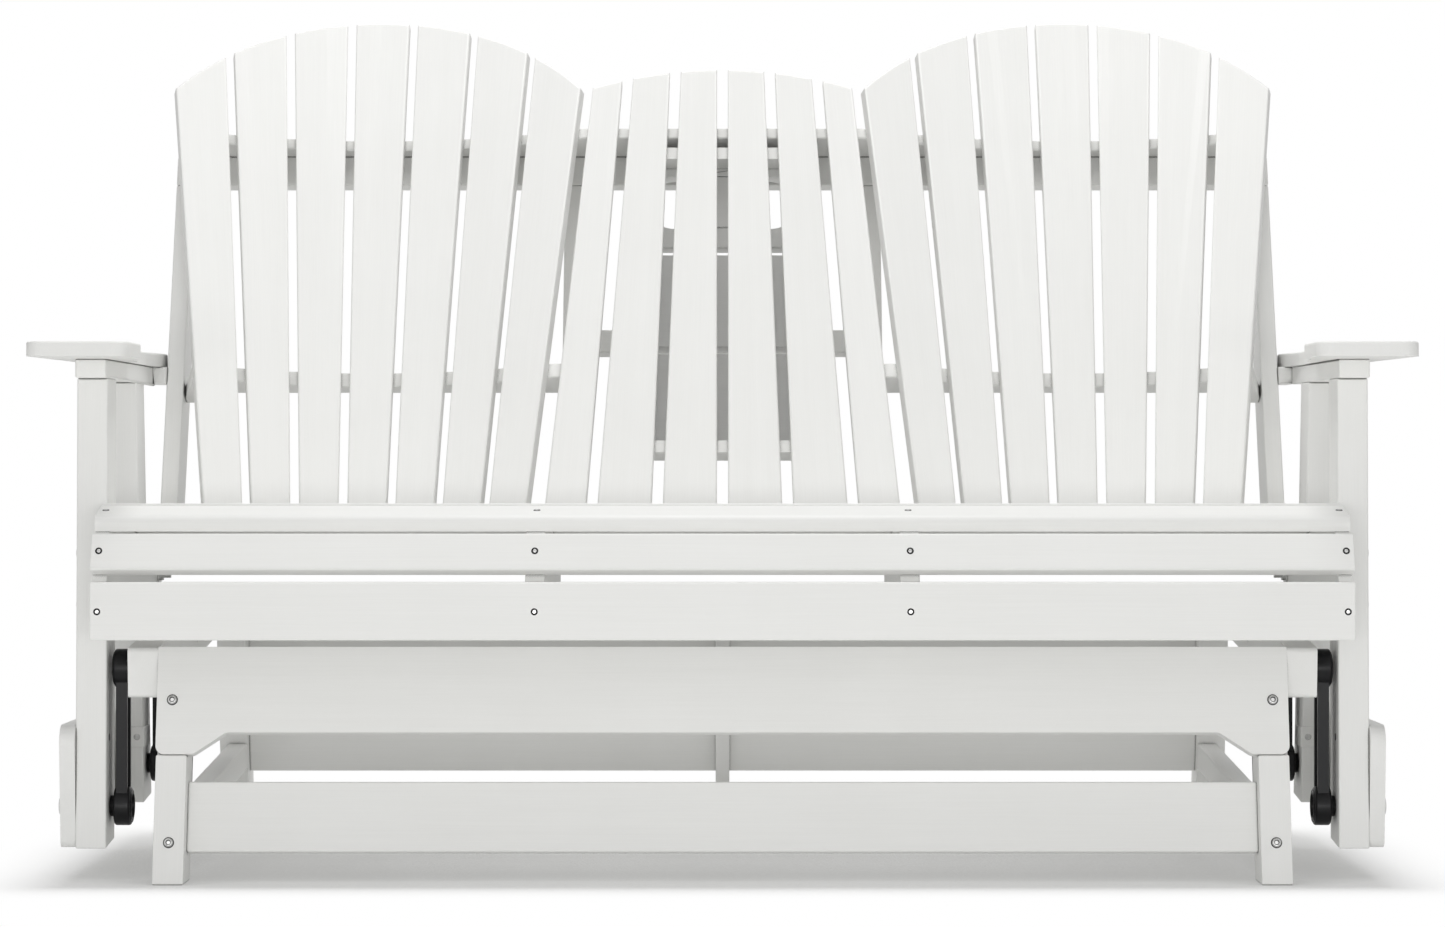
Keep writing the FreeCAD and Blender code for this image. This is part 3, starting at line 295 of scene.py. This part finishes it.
def nylonFinish(name):
    look = nylonLook
    finish = newFinish(name)
    x, y, z = finish.axes(finish.spot())
    cloudSize = look["cloudSize"]
    peelSize = look["peelSize"]
    flowWidth = look["flowWidth"]
    cloud = finish.noise(x * cloudSize, y * cloudSize, z * cloudSize, look["cloudDetail"])
    peel = finish.noise(x * peelSize, y * peelSize, z * peelSize, look["peelDetail"])
    flow = finish.noise(x * flowWidth, y * flowWidth, z * look["flowLength"], look["flowDetail"])
    tone = cloud * look["cloudTone"] + flow * look["flowTone"] + look["toneStart"]
    colour = finish.blend(tone.clipped(0.0, 1.0), look["dark"], look["dusty"])
    rough = look["roughness"] + cloud * look["cloudRoughness"] + peel * look["peelRoughness"]
    normal = finish.bump(peel + flow * look["flowRelief"], look["peelStrength"], look["peelDepth"])
    return finish.surface(Base_Color=colour, Roughness=rough, Normal=normal,
                          Specular_IOR_Level=look["shine"])


hangerNylon = nylonFinish("hangerNylon")

# Zinc-plated steel of the bolts, pins and screws, and a near-black steel that paints the shade in the rims
# and recesses round their heads
steelLook = {
    "bright": (0.7, 0.7, 0.69, 1.0),
    "dull": (0.42, 0.42, 0.415, 1.0),
    "roughness": 0.2,
    # near-black tones of the painted shade round the heads and in their recesses
    "shadeRimBright": (0.05, 0.05, 0.05, 1.0),
    "shadeRimDull": (0.018, 0.018, 0.018, 1.0),
    "shadeRimRoughness": 0.45,
    "brushLength": 60.0,
    "brushWidth": 1500.0,
    "brushDetail": 2.0,
    "brushTone": 0.5,
    "spotSize": 160.0,
    "spotDetail": 3.0,
    "spotTone": 0.9,
    "toneStart": -0.2,
    "spotRoughness": 0.16,
    "brushRoughness": 0.12,
    "brushStrength": 0.12,
    "brushDepth": 0.0001,
}


def steelFinish(name, bright, dull, roughness):
    look = steelLook
    finish = newFinish(name)
    x, y, z = finish.axes(finish.spot())
    spotSize = look["spotSize"]
    brushWidth = look["brushWidth"]
    brush = finish.noise(x * look["brushLength"], y * brushWidth, z * brushWidth, look["brushDetail"])
    spots = finish.noise(x * spotSize, y * spotSize, z * spotSize, look["spotDetail"])
    tone = brush * look["brushTone"] + spots * look["spotTone"] + look["toneStart"]
    colour = finish.blend(tone.clipped(0.0, 1.0), dull, bright)
    rough = roughness + spots * look["spotRoughness"] + brush * look["brushRoughness"]
    normal = finish.bump(brush, look["brushStrength"], look["brushDepth"])
    return finish.surface(Base_Color=colour, Roughness=rough, Normal=normal, Metallic=1.0)


boltSteel = steelFinish("boltSteel", steelLook["bright"], steelLook["dull"], steelLook["roughness"])
# Painted shade: a near-black steel laid on the rims and recesses of the heads, where shade falls
shadeRimSteel = steelFinish("shadeRimSteel", steelLook["shadeRimBright"], steelLook["shadeRimDull"], steelLook["shadeRimRoughness"])
print("nylon and steel finishes made")

# Which finish each CAD piece wears
woods = {
    "seat_apron": lumberAcross, "seat_riser_slat": lumberAcross, "seat_nosing_slat": lumberAcross,
    "seat_slats": lumberAcross, "base_front_board": lumberAcross, "base_front_rail": lumberAcross,
    "base_rear_board": lumberAcross, "base_rear_rail": lumberAcross, "base_centre_stile": lumberRearLeg,
    "scalloped_top_board": lumberAcross, "top_rail": lumberAcross, "middle_rear_rail": lumberAcross,
    "console_boards": lumberAcross, "console_frame": lumberAcross, "console_hinge_arms": lumberUpright,
    "side_slats_left": lumberFanLeft, "side_slats_right": lumberFanRight,
    "middle_outer_slats": lumberMiddle, "console_slats": lumberMiddle,
}
for side in ("left", "right"):
    for piece in ("arm", "under_arm_rail", "side_board", "seat_side_rail", "seat_middle_support"):
        woods[piece + "_" + side] = lumberFore
    for piece in ("hanger_beam", "base_stretcher"):
        woods[piece + "_" + side] = lumberBeam
    woods["front_post_" + side] = lumberPost
    woods["rear_post_" + side] = lumberRearPost
    for piece in ("outer_upright", "inner_upright"):
        woods[piece + "_" + side] = lumberUpright
    for piece in ("arm_level_rail", "lower_back_rail"):
        woods[piece + "_" + side] = lumberAcross
    woods["base_front_leg_" + side] = lumberFrontLeg
    woods["base_rear_leg_" + side] = lumberRearLeg

easing = {
    "lumber": 0.0024, "sideBoard": 0.0055, "hanger": 0.0013,    # width of the broken edge
    "segments": 3, "angle": math.radians(40), "weld": 0.00002,
}


def wear(thing, material):
    thing.data.materials.clear()
    thing.data.materials.append(material)


def easeEdges(thing, width):
    # Routed or moulded edges: the sharp corners are broken by a small round
    weld = thing.modifiers.new("weld", "WELD")
    weld.merge_threshold = easing["weld"]
    bevel = thing.modifiers.new("easedEdges", "BEVEL")
    bevel.width = width
    bevel.segments = easing["segments"]
    bevel.limit_method = "ANGLE"
    bevel.angle_limit = easing["angle"]
    bevel.harden_normals = True


for name, thing in nodes.items():
    if name in woods:
        wear(thing, woods[name])
        easeEdges(thing, easing["sideBoard" if name.startswith("side_board") else "lumber"])
    elif name.startswith("hanger_"):
        wear(thing, hangerNylon)
        easeEdges(thing, easing["hanger"])
    else:
        wear(thing, boltSteel)
print("CAD pieces dressed:", len(nodes))


def newPiece(name, mesh, materials, body):
    thing = bpy.data.objects.new(name, mesh)
    scene.collection.objects.link(thing)
    for material in materials:
        mesh.materials.append(material)
    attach(thing, body)


def facing(place, normal):
    # Puts a fastener made along +Z on a face
    turn = Vector(normal).to_track_quat("Z", "Y").to_matrix().to_4x4()
    return Matrix.Translation(Vector(place)) @ turn


def ring(shape, radius, level, count, lobe=0.0):
    # Loop of points round Z; lobe draws every other point inwards
    points = []
    for number in range(count):
        reach = radius - (lobe if number % 2 else 0.0)
        turn = 2 * math.pi * number / count
        points.append(shape.verts.new((reach * math.cos(turn), reach * math.sin(turn), level)))
    return points


def bridge(shape, lower, upper, finishNumber):
    for number in range(len(lower)):
        after = (number + 1) % len(lower)
        face = shape.faces.new((lower[number], lower[after], upper[after], upper[number]))
        face.material_index = finishNumber
        face.smooth = True


def lathed(rings, count, finishNumbers, lobes=None, hollow=False):
    # Stacked loops joined from the outside inwards, closed by a face at both ends, or into a ring
    shape = bmesh.new()
    lobes = lobes or {}
    loops = []
    for number, (radius, level) in enumerate(rings):
        loops.append(ring(shape, radius * mm, level * mm, count, lobes.get(number, 0.0) * mm))
    for number in range(len(loops) - 1):
        bridge(shape, loops[number], loops[number + 1], finishNumbers[number])
    if hollow:
        bridge(shape, loops[-1], loops[0], finishNumbers[-1])
        return shape
    last = shape.faces.new(loops[-1])
    last.material_index = finishNumbers[-1]
    first = shape.faces.new(list(reversed(loops[0])))
    first.material_index = finishNumbers[0]
    return shape


def scattered(shape, places):
    # One mesh with a copy of the fastener at every place
    mesh = bpy.data.meshes.new("fasteners")
    whole = bmesh.new()
    one = bpy.data.meshes.new("oneFastener")
    shape.to_mesh(one)
    shape.free()
    for place in places:
        before = len(whole.verts)
        whole.from_mesh(one)
        whole.verts.ensure_lookup_table()
        bmesh.ops.transform(whole, matrix=place, verts=whole.verts[before:])
    whole.to_mesh(mesh)
    whole.free()
    bpy.data.meshes.remove(one)
    return mesh


# Countersunk screw with a star drive. The ring round its head and the walls of its drive wear near-black
# steel: painted shade.
# A fastener's rings are radius and level, in millimetres, from the outside inwards. Each ring has the number
# of its finish, and lobes draw in every other point of a ring.
screwLook = {
    "rings": [(4.3, -0.6), (4.3, 0.25), (2.4, 0.35), (2.2, 0.15),
              (2.0, 0.5), (1.6, 0.75), (1.2, 0.65), (1.05, 0.3)],
    "finishes": [0, 0, 0, 1, 1, 1, 0, 1],
    "lobes": {6: 0.35, 7: 0.35},
    "points": 24,
}


def screwShape():
    look = screwLook
    return lathed(look["rings"], look["points"], look["finishes"], look["lobes"])


# Button-head bolt with a round socket; the thin dark rings round its foot and round the socket are painted
# shade, in near-black steel
buttonLook = {
    "rings": [(6.7, -0.5), (6.7, 0.5), (6.4, 0.8), (5.7, 0.8), (5.7, 1.3),
              (5.1, 2.1), (4.3, 2.9), (3.4, 3.2), (2.4, 2.95), (2.3, 1.8)],
    "finishes": [1, 1, 1, 1, 0, 0, 0, 1, 1, 0],
    "points": 24,
}


def buttonShape():
    look = buttonLook
    return lathed(look["rings"], look["points"], look["finishes"])


# Domed carriage bolt head
domeLook = {"head": 10.0, "height": 4.2, "skirt": 0.7, "buried": 0.5, "steps": 6, "flat": 0.6, "points": 28}


def domeShape():
    look = domeLook
    head = look["head"]
    skirt = look["skirt"]
    rings = [(head, -look["buried"]), (head, skirt)]
    for number in range(1, look["steps"] + 1):
        turn = math.pi / 2 * number / (look["steps"] + look["flat"])
        rings.append((head * math.cos(turn), skirt + (look["height"] - skirt) * math.sin(turn)))
    return lathed(rings, look["points"], [0] * len(rings))


# Washer, hexagon nut and threaded stud end of a through bolt
studLook = {
    "rings": [(10.0, -0.4), (10.0, 1.2), (9.7, 1.5), (7.4, 1.5),
              (7.4, 2.0), (7.4, 6.0), (6.5, 7.2), (3.8, 7.2)],
    "lobes": {3: 0.99, 4: 0.99, 5: 0.99, 6: 0.4},
    "stud": 3.6, "pitch": 1.25, "threadDepth": 0.45, "root": 0.25, "crest": 0.75,
    "reach": 17.0, "plainEnd": 1.0, "tipCut": 0.8, "points": 12,
}


def studShape():
    look = studLook
    rings = list(look["rings"])
    level = rings[-1][1]
    while level < look["reach"] - look["plainEnd"]:
        rings.append((look["stud"] - look["threadDepth"], level + look["pitch"] * look["root"]))
        rings.append((look["stud"], level + look["pitch"] * look["crest"]))
        level += look["pitch"]
    rings.append((look["stud"] - look["tipCut"], look["reach"]))
    return lathed(rings, look["points"], [0] * len(rings), look["lobes"])


def mirrored(places):
    # The transforms that put a fastener at each place, and at its mirror image on the other side
    both = []
    for place, normal in places:
        both.append((place, normal))
        both.append(((-place[0], place[1], place[2]), (-normal[0], normal[1], normal[2])))
    return [facing(place, normal) for place, normal in both]


def worked(depth, height):
    # A point given as millimetres behind the seat front and above the floor
    return depth * mm + layout["front"], height * mm


# Seat screws: over the side rails and the middle supports
seatScrews = {
    "bearers": (midway("seat_side_rail_right", "x"), midway("seat_middle_support_right", "x")),
    "apronHeight": 335.0, "apronPress": 0.12,     # the apron's heads are flush with the loveseat's front
    "riserFoot": (6.5, 385.5), "riserTurn": 68.5, "riserRun": 24.0,
    "nosingFoot": (44.7, 430.64), "nosingTurn": 12.0, "nosingRun": 33.0,
    "seatFoot": (114.15, 445.4), "seatTurn": -7.0, "slatCount": 4, "slatWidth": 81.7, "slatGap": 9.0,
    "screwInset": 19.0, "thickness": 19.0,
}


def onSlat(foot, turn, run, off):
    # A point along a turned slat from its foot and off its face, and the way that the face looks
    turn = math.radians(turn)
    y, z = worked(foot[0] + run * math.cos(turn) - off * math.sin(turn),
                  foot[1] + run * math.sin(turn) + off * math.cos(turn))
    return (y, z), (0.0, -math.sin(turn), math.cos(turn))


def seatScrewPlaces():
    look = seatScrews
    places = []
    for x in look["bearers"]:
        (y, z), normal = onSlat(look["riserFoot"], look["riserTurn"], look["riserRun"], 0.0)
        places.append(((x, y, z), normal))
        (y, z), normal = onSlat(look["nosingFoot"], look["nosingTurn"], look["nosingRun"], look["thickness"])
        places.append(((x, y, z), normal))
        for number in range(look["slatCount"]):
            start = (look["slatWidth"] + look["slatGap"]) * number
            for inset in (look["screwInset"], look["slatWidth"] - look["screwInset"]):
                (y, z), normal = onSlat(look["seatFoot"], look["seatTurn"], start + inset, look["thickness"])
                places.append(((x, y, z), normal))
    return places


def apronScrewPlaces():
    look = seatScrews
    y, z = worked(0.0, look["apronHeight"])
    flush = Matrix.Diagonal((1.0, 1.0, look["apronPress"], 1.0))
    places = mirrored([((x, y, z), (0.0, -1.0, 0.0)) for x in look["bearers"]])
    return [place @ flush for place in places]


seatHeads = scattered(screwShape(), apronScrewPlaces() + mirrored(seatScrewPlaces()))
newPiece("seatScrews", seatHeads, (shadeRimSteel, boltSteel), "seat")

# Arm, side board, post and top board screws
trimScrews = {
    "armX": midway("front_post_right", "x"), "armTop": highest("arm_right", "z"),
    "armDepths": (165.0, 201.0, 412.0, 446.0),
    "boardX": highest("side_board_right", "x"),
    "boardPlaces": ((150.0, 152.0), (190.0, 66.0), (474.0, 158.0), (517.0, 96.0)),
    "postX": lowest("front_post_right", "x"), "postPlace": (162.0, 174.0),
    "topX": (0.7275, 0.2025), "topForward": (12.0, -14.0), "topLevel": 561.0,
}


def onBack(up, forward):
    # A point of the back's own frame, up along its lean and forward of the uprights' front faces
    lean = layout["backLean"]
    return (layout["backFoot"][1] + (up * math.sin(lean) - forward * math.cos(lean)) * mm,
            layout["backFoot"][2] + (up * math.cos(lean) + forward * math.sin(lean)) * mm)


def trimScrewPlaces():
    look = trimScrews
    places = []
    for depth in look["armDepths"]:
        y, _ = worked(depth, 0.0)
        places.append(((look["armX"], y, look["armTop"]), (0.0, 0.0, 1.0)))
    for depth, height in look["boardPlaces"]:
        y, z = worked(depth, height)
        places.append(((look["boardX"], y, z), (1.0, 0.0, 0.0)))
    y, z = worked(*look["postPlace"])
    places.append(((look["postX"], y, z), (-1.0, 0.0, 0.0)))
    lean = layout["backLean"]
    for x in look["topX"]:
        for forward in look["topForward"]:
            y, z = onBack(look["topLevel"], forward)
            places.append(((x, y, z), (0.0, math.sin(lean), math.cos(lean))))
    return places


trimHeads = scattered(screwShape(), mirrored(trimScrewPlaces()))
newPiece("trimScrews", trimHeads, (shadeRimSteel, boltSteel), "seat")

# Button-head bolts of the base: through the end boards and the legs
baseBolts = {
    "x": midway("base_front_leg_right", "x"), "boardUp": 227.8, "legUp": 52.3, "boardProud": 5.0,
    "frontFoot": lowest("base_front_leg_right", "y"), "rearFoot": highest("base_rear_leg_right", "y"),
    "rearGain": 58.6,            # the rear board and rail are this much higher
}


def onLeg(up, across, end):
    # A point up a leg's outer face and inwards of it, and the way that the face looks
    lean = layout["legLean"]
    reach = (across * math.cos(lean) + up * math.sin(lean)) * mm
    height = (up * math.cos(lean) - across * math.sin(lean)) * mm
    if end == "front":
        return (baseBolts["frontFoot"] + reach, height), (0.0, -math.cos(lean), math.sin(lean))
    return (baseBolts["rearFoot"] - reach, height), (0.0, math.cos(lean), math.sin(lean))


def baseBoltPlaces():
    look = baseBolts
    places = []
    for end, gain in (("front", 0.0), ("rear", look["rearGain"])):
        for up, across in ((look["boardUp"] + gain, -look["boardProud"]), (look["legUp"] + gain, 0.0)):
            (y, z), normal = onLeg(up, across, end)
            places.append(((look["x"], y, z), normal))
    return places


baseHeads = scattered(buttonShape(), mirrored(baseBoltPlaces()))
newPiece("baseBolts", baseHeads, (boltSteel, shadeRimSteel), "base")

# Through bolts that hold the posts to the seat's side rails: domed heads outside, nuts and stud ends inside
postBolts = {
    "outer": highest("front_post_right", "x"), "inner": lowest("seat_side_rail_right", "x"),
    "places": ((170.0, 338.0), (170.0, 402.0), (470.0, 366.0)),
}


def postBoltPlaces(x, direction):
    places = []
    for depth, height in postBolts["places"]:
        y, z = worked(depth, height)
        places.append(((x, y, z), (direction, 0.0, 0.0)))
    return mirrored(places)


postHeads = scattered(domeShape(), postBoltPlaces(postBolts["outer"], 1.0))
postNuts = scattered(studShape(), postBoltPlaces(postBolts["inner"], -1.0))
newPiece("postBoltHeads", postHeads, (boltSteel,), "seat")
newPiece("postBoltNuts", postNuts, (boltSteel,), "seat")
print("fasteners placed")

# Pale block let round the front and the inner side of each rear post
postBlocks = {
    "x": (0.7583, 0.792), "pivot": (495.0, 117.6), "run": (-37.2, 20.0), "levels": (141.0, 168.0),
    "round": 0.0012, "roundSegments": 2, "roundProfile": 0.5, "flatAngle": 0.01,
    "screwLevel": 154.5, "screwX": 0.7677,
}


def onRearPost(off, height):
    # A point off the rear post's middle line, at a height
    pivotDepth, pivotHeight = postBlocks["pivot"]
    return worked(pivotDepth + off - (height - pivotHeight) * math.tan(layout["rearPostLean"]), height)


def postBlockMesh():
    look = postBlocks
    shape = bmesh.new()
    for side in (1.0, -1.0):
        corners = []
        for x in look["x"]:
            for off in look["run"]:
                for level in look["levels"]:
                    corners.append(shape.verts.new((x * side, *onRearPost(off, level))))
        bmesh.ops.convex_hull(shape, input=corners)
    bmesh.ops.recalc_face_normals(shape, faces=shape.faces[:])
    bmesh.ops.dissolve_limit(shape, angle_limit=look["flatAngle"],
                             verts=shape.verts[:], edges=shape.edges[:])
    bmesh.ops.bevel(shape, geom=shape.edges[:], offset=look["round"], segments=look["roundSegments"],
                    profile=look["roundProfile"], affect="EDGES")
    mesh = bpy.data.meshes.new("postBlocks")
    shape.to_mesh(mesh)
    shape.free()
    return mesh


def postBlockScrewPlaces():
    look = postBlocks
    y, z = onRearPost(look["run"][0], look["screwLevel"])
    lean = layout["rearPostLean"]
    return [((look["screwX"], y, z), (0.0, -math.cos(lean), -math.sin(lean)))]


newPiece("postBlocks", postBlockMesh(), (lumberRearPost,), "seat")
blockScrews = scattered(screwShape(), mirrored(postBlockScrewPlaces()))
newPiece("postBlockScrews", blockScrews, (boltSteel, boltSteel), "seat")
print("post blocks placed")

# Moulded collar with two ridges round the open bore of each hanger head, where its nut sits
hangerCollars = {
    "rings": [(20.8, -0.4), (20.8, 0.5), (20.4, 1.0), (19.6, 1.0), (19.0, 0.4), (17.6, 0.4),
              (17.2, 1.5), (16.8, 1.8), (15.9, 1.8), (15.4, 1.4), (15.2, 0.6), (15.2, -0.4)],
    "points": 48,
    "outer": highest("hanger_front_right", "x"),    # outer face of an upper head
    "inner": lowest("hanger_front_right", "x"),     # inner face of a lower head
    "length": pivots["hanger_front_left"][2] - pivots["seat"][2],
}


def hangerCollar(end, side):
    look = hangerCollars
    hanger = "hanger_" + end + "_" + side
    sign = -1.0 if side == "left" else 1.0
    y, z = pivots[hanger][1:]
    places = [
        facing((sign * look["outer"], y, z), (sign, 0.0, 0.0)),
        facing((sign * look["inner"], y, z - look["length"]), (-sign, 0.0, 0.0)),
    ]
    shape = lathed(look["rings"], look["points"], [0] * len(look["rings"]), hollow=True)
    pieceName = "hangerCollars" + end.capitalize() + side.capitalize()
    newPiece(pieceName, scattered(shape, places), (hangerNylon,), hanger)


for end in ("front", "rear"):
    for side in ("left", "right"):
        hangerCollar(end, side)
print("hanger collars placed")

# Plain studio: floor, backdrop light, lamps and the photograph's camera
studio = {
    "floorSize": 30.0,
    "floorColour": (0.86, 0.86, 0.85, 1.0),
    "seenColour": (1.0, 1.0, 0.995, 1.0),
    "nookColour": (0.5, 0.5, 0.485, 1.0),    # shade under the base and round the feet
    "nookReach": 0.5,
    "nookSamples": 4,
    "nookFrom": 0.35,
    "nookTo": 0.95,
    "glow": 0.24,            # lift of the floor towards white, as seen
    "bounce": 0.12,          # and as light thrown up on the loveseat
    "shadeHalfWidth": 0.8,   # the floor's shade keeps to this patch under the loveseat
    "shadeHalfDepth": 0.37,
    "shadeFade": 0.16,       # and fades to plain white over this distance
    "worldColour": (1.0, 1.0, 1.0, 1.0),
    "worldStrength": 0.36,
    "whiteStrength": 1.0,    # plain white, as seen
    "lampAim": (0.0, 0.0, 0.5),
}


def floorFinish():
    look = studio
    finish = newFinish("studioFloor")
    x, y, _ = finish.axes(finish.spot())
    aside = (x.absolute() - look["shadeHalfWidth"]).clipped(0.0, look["floorSize"])
    ahead = (y.absolute() - look["shadeHalfDepth"]).clipped(0.0, look["floorSize"])
    near = 1.0 - (aside * aside + ahead * ahead).root().over(0.0, look["shadeFade"])
    far = 1.0 - near * near
    colour = look["worldColour"]
    matte = finish.add("ShaderNodeBsdfDiffuse", {}, {"Color": look["floorColour"]})
    lift = finish.add("ShaderNodeEmission", {}, {"Color": colour, "Strength": look["glow"]})
    white = finish.add("ShaderNodeEmission", {}, {"Color": colour, "Strength": look["whiteStrength"]})
    bounce = finish.add("ShaderNodeEmission", {}, {"Color": colour, "Strength": look["bounce"]})
    exposed = finish.add("ShaderNodeAmbientOcclusion", {"samples": look["nookSamples"]},
                         {"Distance": look["nookReach"]}, "AO")
    share = exposed.over(look["nookFrom"], look["nookTo"])
    paleColour = finish.blend(share, look["nookColour"], look["seenColour"])
    pale = finish.add("ShaderNodeBsdfDiffuse", {}, {"Color": paleColour})
    lit = finish.add("ShaderNodeAddShader", {}, {0: pale, 1: lift})
    thrown = finish.add("ShaderNodeAddShader", {}, {0: matte, 1: bounce})
    seen = finish.add("ShaderNodeMixShader", {}, {0: far, 1: lit, 2: white})
    finish.show(finish.add("ShaderNodeMixShader", {}, {0: finish.watched(), 1: thrown, 2: seen}))
    return finish.owner


floorMesh = bpy.data.meshes.new("studioFloor")
half = studio["floorSize"] / 2
floorCorners = [(-half, -half, 0), (half, -half, 0), (half, half, 0), (-half, half, 0)]
floorMesh.from_pydata(floorCorners, [], [(0, 1, 2, 3)])
floorMesh.materials.append(floorFinish())
floor = bpy.data.objects.new("studioFloor", floorMesh)
scene.collection.objects.link(floor)


def studioWorld():
    look = studio
    finish = Finish(bpy.data.worlds.new("studioWorld"))
    colour = look["worldColour"]
    dim = finish.add("ShaderNodeBackground", {}, {"Color": colour, "Strength": look["worldStrength"]})
    plain = finish.add("ShaderNodeBackground", {}, {"Color": colour, "Strength": look["whiteStrength"]})
    backdrop = finish.add("ShaderNodeMixShader", {}, {0: finish.watched(), 1: dim, 2: plain})
    finish.show(backdrop, "ShaderNodeOutputWorld")
    return finish.owner


scene.world = studioWorld()

lamps = {
    "keyLamp": {"place": (-1.8, -4.6, 2.3), "size": (3.6, 3.6), "power": 16.0},
    "fillLamp": {"place": (2.4, -4.6, 1.6), "size": (3.4, 3.4), "power": 9.0},
    "frontLamp": {"place": (0.0, -6.2, 0.5), "size": (2.6, 2.0), "power": 46.0},
    "lowLamp": {"place": (0.0, -5.6, 0.3), "size": (4.4, 0.5), "power": 48.0},
    "topLamp": {"place": (0.0, 0.0, 4.0), "size": (1.6, 1.6), "power": 78.0},
    "rearLamp": {"place": (0.0, 5.0, 2.2), "size": (3.6, 3.0), "power": 24.0},
}
for name, lamp in lamps.items():
    lampData = bpy.data.lights.new(name, "AREA")
    lampData.shape = "RECTANGLE"
    lampData.size, lampData.size_y = lamp["size"]
    lampData.energy = lamp["power"]
    thing = bpy.data.objects.new(name, lampData)
    thing.location = lamp["place"]
    aim = Vector(studio["lampAim"]) - Vector(lamp["place"])
    thing.rotation_euler = aim.to_track_quat("-Z", "Y").to_euler()
    scene.collection.objects.link(thing)

view = {"place": (0.0, -5.3155, 0.513), "focal": 4083.0, "imageWidth": 1445.0, "sensor": 36.0}
cameraData = bpy.data.cameras.new("photoCamera")
cameraData.sensor_width = view["sensor"]
cameraData.lens = view["sensor"] * view["focal"] / view["imageWidth"]
camera = bpy.data.objects.new("photoCamera", cameraData)
camera.location = view["place"]
camera.rotation_euler = (math.radians(90), 0.0, 0.0)
scene.collection.objects.link(camera)
scene.camera = camera
scene.view_settings.view_transform = "Standard"
print("studio set")
